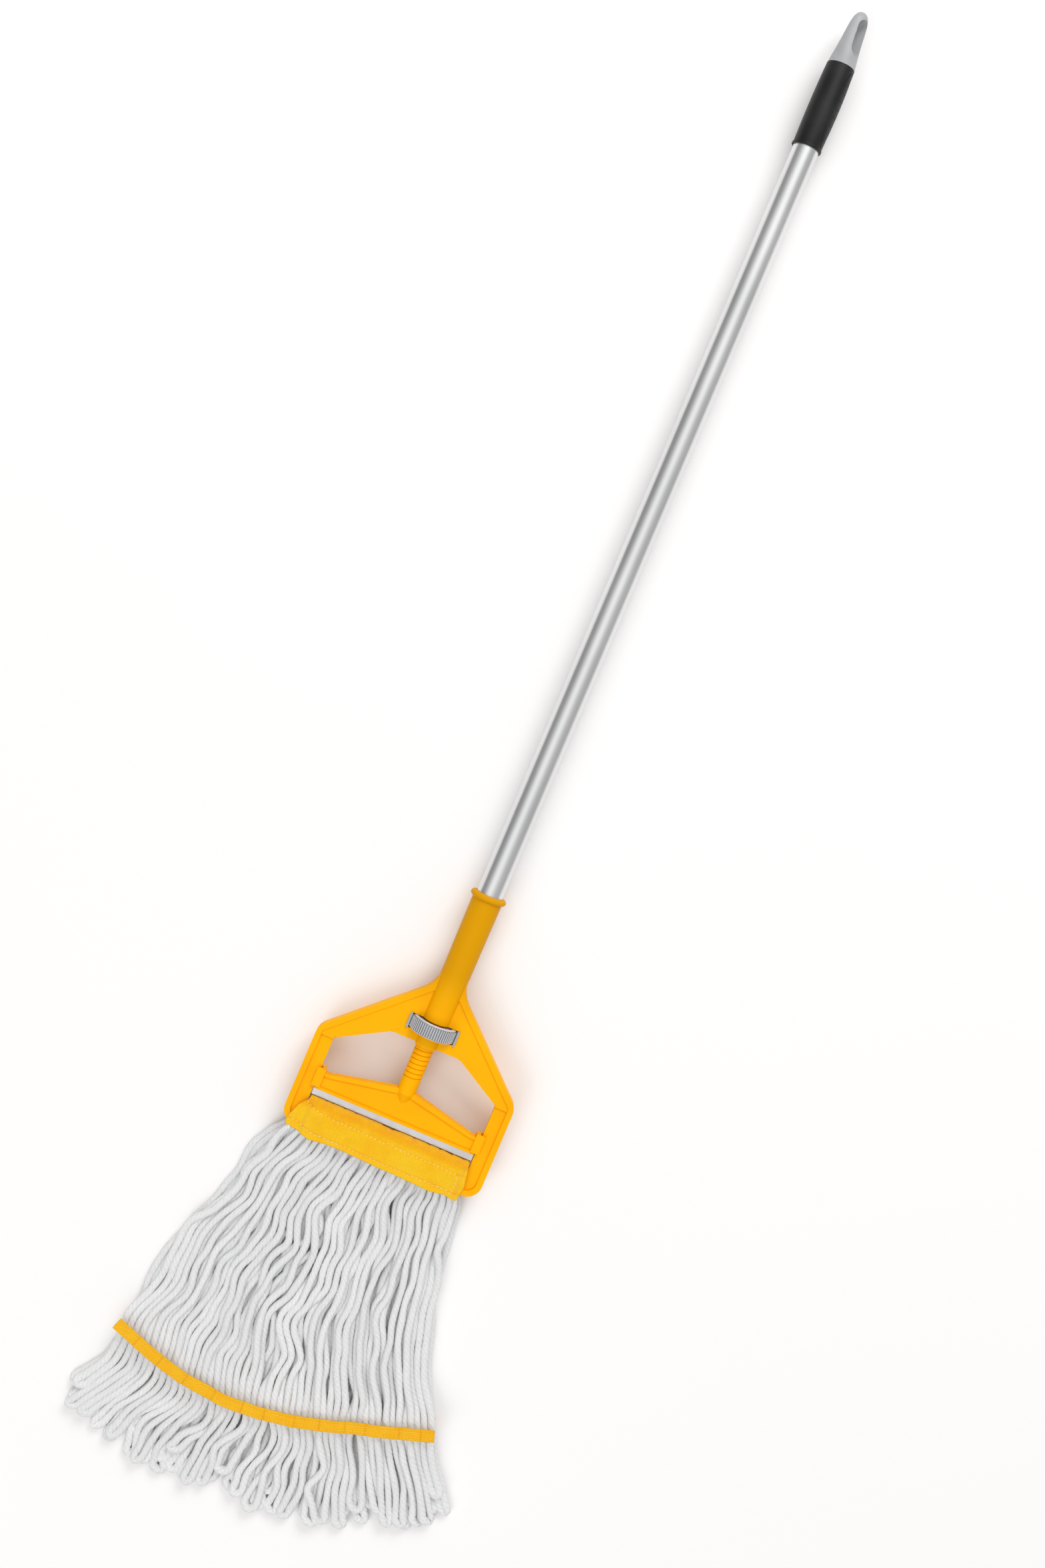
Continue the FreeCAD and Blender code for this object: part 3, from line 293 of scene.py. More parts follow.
def loop_tips(line, seed, front):
    """The station where each loop turns, given to both of its legs."""
    source = np.random.default_rng(seed)
    tips = []
    for number in range(LOOPS):
        middle = line[:, 2 * number:2 * number + 2].mean(axis=1)
        reach = 1500.0
        for _ in range(30):
            reach = 0.5 * reach + 0.5 * read(ENDS, np.interp(reach, stations, middle))
        short = source.choice(SHORT_BY, p=SHORT_ODDS)
        tips.append(reach - short - (0 if front else source.uniform(0, BACK_SHORT)))
    return np.repeat(tips, 2)


# ---------------------------------------------------------------- settling the yarns

# Each leg is a row of discs, one at a station. A round pushes overlapping discs apart, bends the
# legs straighter, holds them to their wanted lines and lets them sink. A share is the part of a
# full correction that one round makes.
ROUNDS = 320
NEIGHBOURS = 11
NEIGHBOURS_EVERY = 8
TOUCHING = 0.97
PUSH_SHARE, PUSH_MOST = 0.36, 2.0
BEND_ASIDE, BEND_UP = 0.2, 0.24
HOLD = 0.975
SINK, SINK_LATE, LATE_FROM = 0.3, 0.12, 0.7
# Near its end, a loop's two legs are drawn to a set distance from each other.
TIP_REACH, TIP_LENGTH, TIP_SHARE, TIP_GAP = 62, 50, 0.13, 7.2
# A parting moves legs up to a distance away and follows the few that lie nearest to it.
PART_SHARE, PART_MOST, PART_REACH, PART_FOLLOWS, PART_LONGER = 0.6, 3, 40, 4, 1.15
FAR_AWAY = 1e6
# Heights that a layer must stay between at its tapes and inside the headband's hem.
TAPE_REACH = 9
AT_TAPE = {"front": (14.1, 24.3), "back": (1.2, 11.4)}
IN_HEM = {"front": (25.4, 35.4), "back": (14.6, 24.6)}
CEILING = 60.0
# How near a yarn's centre comes to each of these.
NEAR_FLOOR, NEAR_TAPE, NEAR_LEAF = YARN_R * 1.06, YARN_R * 0.94, YARN_R * 0.8
NEAR_PARTING = YARN_R * 0.9
# Yarns are thin where they enter the headband.
THIN, THICKER, THIN_LENGTH = 0.84, 0.16, 22
TURN_ROOM = 9.0
# The layers' first heights, and how far apart their three rows start.
START_Z = (26.0, 7.0)
ROW_RISE = 4.6


def band_limits(x, layer):
    """Lowest and highest yarn centres of a layer."""
    low = np.full(x.shape, NEAR_FLOOR)
    high = np.full(x.shape, CEILING)
    at_tape = np.abs(level_s - read(TAIL, x)) < TAPE_REACH
    low = np.where(at_tape, AT_TAPE[layer][0] + NEAR_TAPE, low)
    high = np.where(at_tape, AT_TAPE[layer][1] - NEAR_TAPE, high)
    inside = level_s < HEM + 2
    low = np.where(inside, IN_HEM[layer][0] + NEAR_LEAF, low)
    high = np.where(inside, IN_HEM[layer][1] - NEAR_LEAF, high)
    return low, high


front_goal, back_goal = wanted_lines(5, True), wanted_lines(9, False)
tips = np.concatenate([loop_tips(front_goal, 31, True), loop_tips(back_goal, 37, False)])
goal = np.concatenate([front_goal, back_goal], axis=1)
legs_total = goal.shape[1]
is_front = np.arange(legs_total) < LEGS
live = level_s <= tips[None, :] - TURN_ROOM
radius = YARN_R * (THIN + THICKER * ramped(level_s, HEM, THIN_LENGTH)) * np.ones(goal.shape)
x = goal.copy()
row_of = rng.permuted(np.tile(np.arange(3), (legs_total // 3 + 1, 1)), axis=1).ravel()[:legs_total]
z = np.where(is_front, *START_Z)[None, :] + row_of[None, :] * ROW_RISE
z = (z + rng.uniform(0, 1.5, legs_total)[None, :]) * np.ones(goal.shape)


def openings():
    """Each parting as (rows, its middle line in them, how far yarn centres stay off that line,
    each leg's side of it, the legs it moves)."""
    made = []
    for middle, at, half_length, half_width in PARTINGS:
        row = int(np.argmin(np.abs(stations - at)))
        lens = np.sqrt(np.clip(1 - ((stations - at) / (half_length * PART_LONGER)) ** 2, 0, 1))
        rows = np.flatnonzero(lens > 0.05)
        close = np.argsort(np.abs(front_goal[row] - middle))[:PART_FOLLOWS]
        path = front_goal[:, close].mean(axis=1)
        path = middle + path - path[row]
        side = np.where(goal[row] > middle, 1.0, -1.0)
        moved = is_front & (np.abs(goal[row] - middle) < PART_REACH)
        need = half_width * lens[rows] + NEAR_PARTING
        made.append((rows, path[rows], need, side, moved))
    return made


def nearest(x, z):
    """The legs nearest to each leg at each station."""
    gap = np.abs(x[:, :, None] - x[:, None, :]) + np.abs(z[:, :, None] - z[:, None, :])
    gap[:, np.arange(legs_total), np.arange(legs_total)] = FAR_AWAY
    gap += np.where(live[:, None, :], 0, FAR_AWAY / 10)
    return np.argpartition(gap, NEIGHBOURS, axis=2)[:, :, :NEIGHBOURS]


def bend(values):
    """Difference from the neighbours along each yarn."""
    out = np.zeros_like(values)
    out[1:-1] = values[:-2] + values[2:] - 2 * values[1:-1]
    return out


PARTED = openings()
partner = np.arange(legs_total) ^ 1
tip_pull = ramped(level_s, tips[None, :] - TIP_REACH, TIP_LENGTH) * TIP_SHARE
k = np.arange(len(stations))[:, None, None]
for turn in range(ROUNDS):
    if turn % NEIGHBOURS_EVERY == 0:
        near = nearest(x, z)
        both = live[k, near] & live[:, :, None]
        pair = radius[k, near] + radius[:, :, None]
    slope = np.gradient(x, axis=0) / STEP
    cosine = 1 / np.sqrt(1 + ((slope[k, near] + slope[:, :, None]) / 2) ** 2)
    dx = (x[k, near] - x[:, :, None]) * cosine
    dz = z[k, near] - z[:, :, None]
    far = np.sqrt(dx * dx + dz * dz) + 1e-6
    squeeze = np.where(both, np.clip(pair * TOUCHING - far, 0, PUSH_MOST), 0) * PUSH_SHARE
    x = x - (squeeze * dx / far / cosine).sum(axis=2)
    z = z - (squeeze * dz / far).sum(axis=2)
    off = x - goal
    off = off + BEND_ASIDE * bend(off)
    x = goal + off * HOLD
    z = z + BEND_UP * bend(z) - (SINK if turn < ROUNDS * LATE_FROM else SINK_LATE)
    apart = x[:, partner] - x
    x = x + tip_pull * (apart - np.sign(apart + TINY) * TIP_GAP)
    for rows, path, need, side, moved in PARTED:
        block = np.ix_(rows, np.flatnonzero(moved))
        clear = (x[block] - path[:, None]) * side[moved][None, :]
        step_out = np.clip(need[:, None] - clear, 0, PART_MOST)
        x[block] += side[moved][None, :] * step_out * PART_SHARE
    x[0] = goal[0]
    if turn % NEIGHBOURS_EVERY == 0:
        limits = [band_limits(x, layer) for layer in ("front", "back")]
        low, high = (np.where(is_front, *pair_of) for pair_of in zip(*limits))
    z = np.clip(z, low, high)


# ---------------------------------------------------------------- yarn meshes

# How a loop turns at its end, as (share of its half width, share of its depth).
TURN_SHAPE = ((1.12, 0.42), (0.82, 0.9), (0.0, 1.13), (-0.82, 0.9), (-1.12, 0.42))
LOOP_HALF = (3.6, 5.6)
SIDES = 16
PLY_TURN = 21.0
SPACING = 2.0
# A tube's size along its length: slow waves, and a swelling at the loop's end.
SIZE = (0.91, 1.01)
SWELL, SWELL_LENGTH = 0.03, (3, 9)
END_SWELL, END_LENGTH = (0.08, 0.2), 20
THIN_ENDS = (8, 20)
# Its size around a ring, where the plies stand out, and the unevenness of its points.
CROWN_POWER, PLY_GROOVE, PLY_RISE = 0.7, 0.935, 0.085
UNEVEN = 0.012
DECLARED = 40
UNDER_GROUP = 10


def routes():
    """Each loop as points down one leg, round its end and back up the other leg."""
    made = []
    for number in range(ALL_LOOPS):
        a, b = 2 * number, 2 * number + 1
        last = int(np.flatnonzero(live[:, a])[-1])
        picks = np.unique(np.concatenate([np.arange(0, last - 1, 2), [last]]))
        legs = [np.stack([x[picks, i], to_y(stations[picks]), z[picks, i]], axis=1) for i in (a, b)]
        ahead = sum(leg[-1] - leg[-3] for leg in legs)
        ahead[2] = 0
        ahead /= np.linalg.norm(ahead)
        aside = (legs[1][-1] - legs[0][-1]) / 2
        middle = (legs[0][-1] + legs[1][-1]) / 2
        wide = np.linalg.norm(aside[:2])
        half = min(max(wide, LOOP_HALF[0]) + rng.uniform(0, 0.9), LOOP_HALF[1])
        level = aside / max(wide, 1e-6) * half
        depth = (tips[a] - stations[last] - YARN_R) * rng.uniform(0.94, 1.0)
        turn = [middle - level * c + ahead * depth * f for c, f in TURN_SHAPE]
        for place in turn:
            place[2] = max(place[2], NEAR_FLOOR)
        made.append(np.concatenate([legs[0], turn, legs[1][::-1]]))
    return made


def nurbs_lines(paths, resolution=6):
    """Smooth NURBS lines with the given control points, as arrays of points."""
    curve = bpy.data.curves.new("routes", "CURVE")
    curve.dimensions = "3D"
    curve.resolution_u = resolution
    for path in paths:
        spline = curve.splines.new("NURBS")
        spline.points.add(len(path) - 1)
        weighted = np.concatenate([path, np.ones((len(path), 1))], axis=1)
        spline.points.foreach_set("co", weighted.ravel())
        spline.use_endpoint_u = True
        spline.order_u = 3
    holder = bpy.data.objects.new("routes", curve)
    mesh = bpy.data.meshes.new_from_object(holder)
    points = np.zeros(len(mesh.vertices) * 3)
    mesh.vertices.foreach_get("co", points)
    edges = np.zeros(len(mesh.edges) * 2, int)
    mesh.edges.foreach_get("vertices", edges)
    joined = set(edges.reshape(-1, 2).min(axis=1).tolist())
    points = points.reshape(-1, 3)
    cuts = [n + 1 for n in range(len(points) - 1) if n not in joined]
    bpy.data.objects.remove(holder)
    bpy.data.meshes.remove(mesh)
    return np.split(points, cuts)


def plied_tube(line, seed):
    """Four plies twisted along a line: ring points, their pattern coordinates, ring centres."""
    reach = walked(line)
    along = np.linspace(0, reach[-1], int(reach[-1] / SPACING) + 1)
    centres = sampled(along, reach, line)
    ahead = unit(np.gradient(centres, axis=0))
    across = unit(np.cross([0, 0, 1], ahead))
    above = np.cross(ahead, across)
    around = np.arange(SIDES) * 2 * np.pi / SIDES
    angle = around[None, :] - (along * 2 * np.pi / PLY_TURN)[:, None]
    source = np.random.default_rng(seed)
    swell = 1 + sum(SWELL * np.sin(along / source.uniform(*SWELL_LENGTH) + source.uniform(0, 6))
                    for _ in range(3))
    thin = THIN + THICKER * ramped(np.minimum(along, along[-1] - along), *THIN_ENDS)
    swell = swell + source.uniform(*END_SWELL) * hump(along - along[-1] / 2, END_LENGTH)
    crown = np.abs(np.cos(2 * around)) ** CROWN_POWER
    ply = PLY_GROOVE + PLY_RISE * crown
    size = YARN_R * source.uniform(*SIZE) * (swell * thin)[:, None] * ply[None, :]
    size = size * (1 + UNEVEN * source.normal(0, 1, size.shape))
    outward = (np.cos(angle)[:, :, None] * across[:, None, :]
               + np.sin(angle)[:, :, None] * above[:, None, :])
    ring = centres[:, None, :] + size[:, :, None] * outward
    ring[:, :, 2] = np.maximum(ring[:, :, 2], FLOOR_GAP)
    cloth = np.stack([np.broadcast_to(crown, size.shape),
                      np.broadcast_to(along[:, None] / PLY_TURN, size.shape),
                      np.full(size.shape, source.uniform(0, 1))], axis=2)
    return ring, cloth, centres


def tube_faces(rings, start):
    """A tube's sides, then its two ends as strips of quads."""
    ends = [np.arange(SIDES)[::-1] + start, np.arange(SIDES) + start + (rings - 1) * SIDES]
    quads = [grid_faces(rings, SIDES, start, closed=True)]
    for end in ends:
        quads.append(np.array([[end[i], end[i + 1], end[SIDES - 2 - i], end[SIDES - 1 - i]]
                               for i in range(SIDES // 2 - 1)]))
    return np.concatenate(quads)


def yarn_piece(name, tubes):
    verts, cloth, faces, start = [], [], [], 0
    for ring, own, _ in tubes:
        verts.append(ring.reshape(-1, 3))
        cloth.append(own.reshape(-1, 3))
        faces.append(tube_faces(len(ring), start))
        start += ring.shape[0] * SIDES
    return make_piece(name, np.concatenate(verts), np.concatenate(faces), np.concatenate(cloth))


tubes = [plied_tube(line, 100 + number) for number, line in enumerate(nurbs_lines(routes()))]
yarns = []
for number, tube in enumerate(tubes[:DECLARED]):
    piece = yarn_piece("yarn_loop_%02d" % (number + 1), [tube])
    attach(piece, "mop")
    yarns.append(piece)
for number, start in enumerate(range(DECLARED, ALL_LOOPS, UNDER_GROUP)):
    piece = yarn_piece("yarn_loops_under_%d" % (number + 1), tubes[start:start + UNDER_GROUP])
    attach(piece, "mop")
    yarns.append(piece)
for number, piece in enumerate(yarns):
    layer = "front" if number < LOOPS else "back"
    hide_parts("yarns_" + layer, "loop_ends_" + layer, "yarn_core")


# ---------------------------------------------------------------- headband

# (station, x) down the headband's two ends and (part of the width, station) along its front hem.
BAND_LEFT = np.array([
    (1120, -79.3), (1123.5, -80.2), (1127, -84), (1131.5, -87), (1140, -90.5), (1145.6, -92.3),
    (1151.8, -91.4), (1160, -91)], float)
BAND_RIGHT = np.array([
    (1120, 79), (1123.5, 80), (1131.8, 81.2), (1143, 83.2), (1150, 82.4), (1155, 80.8),
    (1160, 80)], float)
BAND_HEM = np.array([
    (0, 1151.8), (0.06, 1153), (0.15, 1156.5), (0.24, 1154.3), (0.35, 1153.9), (0.5, 1155.2),
    (0.7, 1155.8), (0.85, 1156.9), (0.93, 1154.5), (1, 1157)], float)
LINER_ENDS = (np.array([(1100, -80), (1160, -80)]), np.array([(1100, 79.5), (1160, 79.5)]))
# Stitch rows on the front as (x, station), and the stations of the two rows on the back.
UPPER_ROW = np.array([
    (-82, 1124.5), (-75, 1127.3), (-67, 1129.9), (-51, 1130.9), (-34, 1131.3), (-8, 1132.2),
    (9, 1131.8), (26, 1132.9), (55, 1132.7), (73, 1133)], float)
LOWER_ROW = np.array([
    (-88.4, 1145.5), (-77.5, 1147), (-69.6, 1149.6), (-60.5, 1150.1), (-34.8, 1150.3),
    (-9, 1150.5), (16.4, 1150.6), (33.6, 1150.8), (61.7, 1150), (73, 1150.8)], float)
END_ROW_X = 73.2
END_ROW = np.array([(END_ROW_X, 1134.5), (73.6, 1142), (END_ROW_X, 1149.5)], float)
UPPER_AT, LOWER_AT, BACK_ROW_HALF = 1132, 1149.5, 76
PITCH = 4.2
# The cloth bends round the bottom bar from this station; its crest may not pass the strip.
BEND_AT = 1132.3
FOLD_R = 12.4
CREST_LIMIT = 1119.9
BACK_ENDS = (-80.5, 80)
BAND_WIDTH = 170
# Past this distance from the middle the folded cloth closes or opens to its end.
CLOSE_FROM, CLOSE_LENGTH = 73.5, 6
CREST_AT, CREST_WIDE = 1124.5, 4.5
SEAM_AT, SEAM_WIDE = 3.6, 1.6
GROOVE_WIDE, PUCKER_WIDE = 0.9, 3.2


def fold(radius, closing, hems, ends, step, ragged, squareness=1.0):
    """Outer face of a cloth folded over the bottom bar, as rows from the back hem over the crest to
    the front hem. It also returns each point's distance from the crest along the cloth, positive in
    front, and its station."""
    columns = int(BAND_WIDTH / step)
    u = np.linspace(0, 1, columns)
    crest_wave = ragged * rolling_noise((1, columns), (1, 4 / step), 61)[0]
    front, back = hems(u)
    reach = np.pi / 2 * radius
    rows = int((front.max() - BEND_AT + back.max() - BEND_AT + 2 * reach) / step)
    v = np.linspace(0, 1, rows)[:, None]
    low = -(back - BEND_AT) - reach
    high = (front - BEND_AT) + reach
    along = low[None, :] + v * (high - low)[None, :]
    angle = np.clip(along / reach, -1, 1) * np.pi / 2
    beyond = np.maximum(np.abs(along) - reach, 0)
    rounded = np.abs(np.cos(angle)) ** squareness
    station = BEND_AT - (radius + crest_wave[None, :]) * rounded + beyond
    left = np.where(along > 0, read(ends[0], station), BACK_ENDS[0])
    right = np.where(along > 0, read(ends[1], station), BACK_ENDS[1])
    x = left + u[None, :] * (right - left)
    size = radius - closing * eased((np.abs(x) - CLOSE_FROM) / CLOSE_LENGTH)
    level = AXIS_Z + size * np.sign(angle) * np.abs(np.sin(angle)) ** squareness
    return np.stack([x, to_y(station), level], axis=2), along, station


def outer_hems(u):
    return read(BAND_HEM, u), 1155 + 0.9 * np.sin(u * 9.5 + 1)


def liner_hems(u):
    return np.full(u.shape, 1149.0), np.full(u.shape, 1148.6)


def band_shell(name, points, along, painted_shade, thickness):
    return shell(name, points, thickness, np.stack([points[:, :, 0], along, painted_shade], axis=2))


def creased(points, along, station):
    """How far the outer cloth stands off its smooth fold, and how much painted shade it gets: the
    crumpled crest, the lip of the seam below it, puckers and grooves at the stitch rows, and the
    hem. The crest, which turns away from the light, and the grooves are painted darker."""
    def noise(cell, seed):
        return rolling_noise(points.shape[:2], cell, seed)

    x = points[:, :, 0]
    in_front = along > 0
    crumple = noise((7, 5), 73) * 0.6 + noise((4, 3), 74) * 0.4
    near_crest = hump(station - CREST_AT, CREST_WIDE)
    height = noise((18, 9), 71) * 0.35 + noise((7, 20), 72) * 0.2 + crumple * near_crest
    seam_lip = hump(np.abs(along) - SEAM_AT, SEAM_WIDE) * in_front
    height = height + seam_lip * (0.9 + 0.5 * noise((6, 7), 75))
    # Painted shade: darker at the crest, which turns away from the light, at the seam's lip and on
    # crumples.
    painted_shade = np.clip(near_crest * 0.8 + seam_lip * 0.3 + 0.15 * crumple, 0, 1)
    for row, back_at in ((UPPER_ROW, UPPER_AT), (LOWER_ROW, LOWER_AT)):
        gap = station - np.where(in_front, read(row, x), back_at)
        pucker = 0.28 * np.sin(x * 2 * np.pi / PITCH) * hump(gap, PUCKER_WIDE)
        height = height - 0.75 * hump(gap, GROOVE_WIDE) + pucker
        # Painted shade in the stitch grooves.
        painted_shade = np.clip(painted_shade + 0.35 * hump(gap, 1.0), 0, 1)
    end_groove = hump(x - END_ROW_X, GROOVE_WIDE) * in_front * (station > UPPER_AT)
    height = height - 0.6 * end_groove
    hem = outer_hems(np.linspace(0, 1, points.shape[1]))[0]
    return height + 0.35 * hump(station - (hem - 1.2), 1.1), painted_shade


points, along, station = fold(FOLD_R, 3.0, outer_hems, (BAND_LEFT, BAND_RIGHT), 0.8, 0.9,
                              squareness=0.78)
height, painted_shade = creased(points, along, station)
band_normal = surface_normals(points)
points = points + band_normal * height[:, :, None]
points[:, :, 1] = np.minimum(points[:, :, 1], to_y(CREST_LIMIT))
headband = band_shell("headband_cloth", points, along, painted_shade, 1.3)

liner_points, liner_along, _ = fold(5.6, -2.4, liner_hems, LINER_ENDS, 1.6, 0.0)
# Painted shade: the lining inside the fold is darker all over.
liner_painted_shade = np.full(liner_along.shape, 0.4)
liner = band_shell("headband_lining", liner_points, liner_along, liner_painted_shade, 1.0)

for piece, node in ((headband, "headband_outer"), (liner, "headband_liner")):
    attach(piece, "mop")
    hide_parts(node)


# ---------------------------------------------------------------- stitches

DASH_RINGS, DASH_SIDES = 9, 6
DASH_R = 0.42
# The dashes' ends, as corners counted from the first or the last ring's first point.
FIRST_END = np.array([[3, 2, 1, 0], [5, 4, 3, 0]])
LAST_END = np.array([[0, 1, 2, 3], [0, 3, 4, 5]])


def thread_dashes(name, places, aims, ups, length=2.9):
    """Short threads whose ends dip into the cloth."""
    places, aims, ups = (np.asarray(v, float)[:, None, None, :] for v in (places, aims, ups))
    bend = np.linspace(-1, 1, DASH_RINGS)
    rise = DASH_R * (1.7 * (1 - bend ** 4) - 1.1)
    width = DASH_R * np.sqrt(1 - 0.9 * np.abs(bend) ** 5)
    around = np.arange(DASH_SIDES) * np.pi / 3
    side = np.cross(ups, aims)
    rings = (places + aims * (bend * length / 2)[None, :, None, None]
             + ups * rise[None, :, None, None]
             + side * (width[:, None] * np.cos(around))[None, :, :, None]
             + ups * (width[:, None] * np.sin(around))[None, :, :, None] * 0.8)
    faces = []
    for number in range(rings.shape[0]):
        start = number * DASH_RINGS * DASH_SIDES
        faces.append(grid_faces(DASH_RINGS, DASH_SIDES, start, closed=True))
        faces.append(FIRST_END + start)
        faces.append(LAST_END + start + (DASH_RINGS - 1) * DASH_SIDES)
    return make_piece(name, rings.reshape(-1, 3), np.concatenate(faces))


def on_cloth(surface, normals, allowed, wanted):
    """The nearest points of a cloth to the wanted (x, y) places, with the cloth's normal there."""
    flat, out = surface[allowed], normals[allowed]
    near = [np.argmin(((flat[:, :2] - place) ** 2).sum(axis=1)) for place in wanted]
    return flat[near], out[near]


def row_places(line):
    """Places along an (x, station) line a pitch apart, as (x, y), and the directions there."""
    path = np.stack([line[:, 0], to_y(line[:, 1])], axis=1)
    steps = walked(path)
    at = np.arange(PITCH / 2, steps[-1], PITCH)
    ahead = sampled(at + 0.5, steps, path) - sampled(at - 0.5, steps, path)
    return sampled(at, steps, path), unit(ahead)


BACK_ROWS = [np.array([(-BACK_ROW_HALF, at), (BACK_ROW_HALF, at)], float)
             for at in (UPPER_AT, LOWER_AT)]
threads = []
for line, front in ([(row, True) for row in (UPPER_ROW, LOWER_ROW, END_ROW)]
                    + [(row, False) for row in BACK_ROWS]):
    spot, ahead = row_places(line)
    allowed = (along > 6) if front else (along < -6)
    place, up = on_cloth(points, band_normal, allowed, spot)
    aim = np.concatenate([ahead, np.zeros((len(ahead), 1))], axis=1)
    aim -= up * (aim * up).sum(axis=1, keepdims=True)
    threads.append((place, unit(aim), up))
stitching = thread_dashes("headband_threads", *(np.concatenate(part) for part in zip(*threads)))
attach(stitching, "mop")
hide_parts("headband_stitching")


# ---------------------------------------------------------------- tail bands

TAPE_HALF = 5.5
TAPE_THICK = 1.1
TAPE_COLUMNS = 15
EDGE_FROM, EDGE_TEETH = 5, 2.3
CREASES, CREASE_GAP, CREASE_WIDE = 20, (14, 34), 0.9
SMOOTHINGS = 60
# The two stitch rows: their places across a tape, and the columns of points nearest to them.
TAPE_ROWS, TAPE_ROW_COLUMNS = (-2.6, 2.6), (4, 10)
TAPE_STITCH = 3.5
# (piece, node, height of the outer face, the way it faces, seed, x of the two ends)
TAPES = [("tail_band_top", "tail_tape_front", 25.5, 1, 81, (-163, 149.5)),
         ("tail_band_top_under", "tail_tape_front_inner", 14.1, 1, 82, (-160, 146)),
         ("tail_band_back_inside", "tail_tape_back_inner", 12.2, 1, 83, (-160, 147)),
         ("tail_band_back", "tail_tape_back", 0.3, -1, 84, (-161, 148))]
STITCHED = ("tail_band_top", "tail_band_back")


def tape_surface(seed, ends):
    """Points over the tail band as (x, y), rows along it and columns across, each point's rise and
    painted shade, and each row's distance from the first and its direction."""
    path = np.stack([TAIL[:, 0], to_y(TAIL[:, 1])], axis=1)
    steps = walked(path)
    fine = np.arange(0, steps[-1], 1.0)
    track = sampled(fine, steps, path)
    for _ in range(SMOOTHINGS):
        track[1:-1] += 0.5 * (track[:-2] + track[2:] - 2 * track[1:-1])
    keep = (track[:, 0] >= ends[0]) & (track[:, 0] <= ends[1])
    track, fine = track[keep], fine[keep] - fine[keep][0]
    ahead = unit(np.gradient(track, axis=0))
    side = np.stack([-ahead[:, 1], ahead[:, 0]], axis=1)
    offset = np.linspace(-TAPE_HALF, TAPE_HALF, TAPE_COLUMNS)
    shape = (len(fine), TAPE_COLUMNS)
    source = np.random.default_rng(seed)
    sway = 0.5 * rolling_noise((len(fine), 1), (26, 1), seed)[:, 0]
    tooth = 0.45 * np.sin(fine * 2 * np.pi / EDGE_TEETH) * source.uniform(0.5, 1.2, len(fine))
    edge = np.sign(offset)[None, :] * (np.abs(offset) > EDGE_FROM)[None, :]
    stretch = offset[None, :] + sway[:, None] + edge * tooth[:, None]
    plan = track[:, None, :] + side[:, None, :] * stretch[:, :, None]
    lumps = (0.3 * rolling_noise(shape, (4.2, 6), seed + 1)
             + 0.12 * rolling_noise(shape, (2, 3), seed + 2))
    crease_at = np.cumsum(source.uniform(*CREASE_GAP, CREASES))
    lean = source.uniform(-3, 3, CREASES)
    crease = sum(hump(fine - c + 0.4 * w, CREASE_WIDE) for c, w in zip(crease_at, lean))[:, None]
    pressed = sum(hump(offset - row, 0.8) for row in TAPE_ROWS)[None, :]
    rise = lumps - 0.5 * crease - 0.3 * pressed + 0.25
    # Painted shade: darker in the creases, along the pressed stitch rows and a little with the
    # lumps.
    painted_shade = np.clip(0.8 * crease + 0.35 * pressed + 0.12 * lumps, 0, 1)
    return plan, rise, painted_shade, fine, ahead


def tail_tape(name, node, height, facing, seed, ends):
    """One tape with its outer face at a height, facing up (1) or down (-1)."""
    plan, rise, painted_shade, fine, ahead = tape_surface(seed, ends)
    z = height + facing * rise
    if facing < 0:
        z = np.maximum(z, FLOOR_GAP)
    surface = np.concatenate([plan, z[:, :, None]], axis=2)
    across = np.linspace(-TAPE_HALF, TAPE_HALF, TAPE_COLUMNS)
    cloth = np.stack([np.broadcast_to(fine[:, None], rise.shape),
                      np.broadcast_to(across[None, :], rise.shape), painted_shade], axis=2)
    if facing < 0:
        surface, cloth = surface[:, ::-1], cloth[:, ::-1]
    piece = shell(name, surface, TAPE_THICK, cloth)
    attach(piece, "mop")
    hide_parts(node)
    return piece, surface, ahead, fine


threads = []
tapes = []
for name, node, height, facing, seed, ends in TAPES:
    piece, surface, ahead, fine = tail_tape(name, node, height, facing, seed, ends)
    tapes.append(piece)
    for column in TAPE_ROW_COLUMNS if name in STITCHED else ():
        at = np.arange(3.0, fine[-1] - 2, TAPE_STITCH)
        place = sampled(at, fine, surface[:, column])
        aim = unit(np.concatenate([sampled(at, fine, ahead), np.zeros((len(at), 1))], axis=1))
        threads.append((place, aim, np.tile([0, 0, float(facing)], (len(at), 1))))
tail_threads = thread_dashes("tail_threads", *(np.concatenate(part) for part in zip(*threads)),
                             length=2.7)
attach(tail_threads, "mop")
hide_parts("tail_stitching")


# ---------------------------------------------------------------- materials


def add(tree, kind, inputs=(), **props):
    made = tree.nodes.new("ShaderNode" + kind)
    for prop, value in props.items():
        setattr(made, prop, value)
    for name, value in dict(inputs).items():
        feed(tree, value, made.inputs[name])
    return made


def feed(tree, value, socket):
    """Links a socket's value to another socket, or sets a plain one."""
    if isinstance(value, bpy.types.NodeSocket):
        tree.links.new(value, socket)
    else:
        socket.default_value = value


def set_stops(ramp, stops):
    """Colours or grey levels of a colour ramp at the given positions."""
    while len(ramp.elements) < len(stops):
        ramp.elements.new(0.5)
    for element, (at, colour) in zip(ramp.elements, stops):
        element.position = at
        element.color = (*colour, 1) if isinstance(colour, tuple) else (colour, colour, colour, 1)


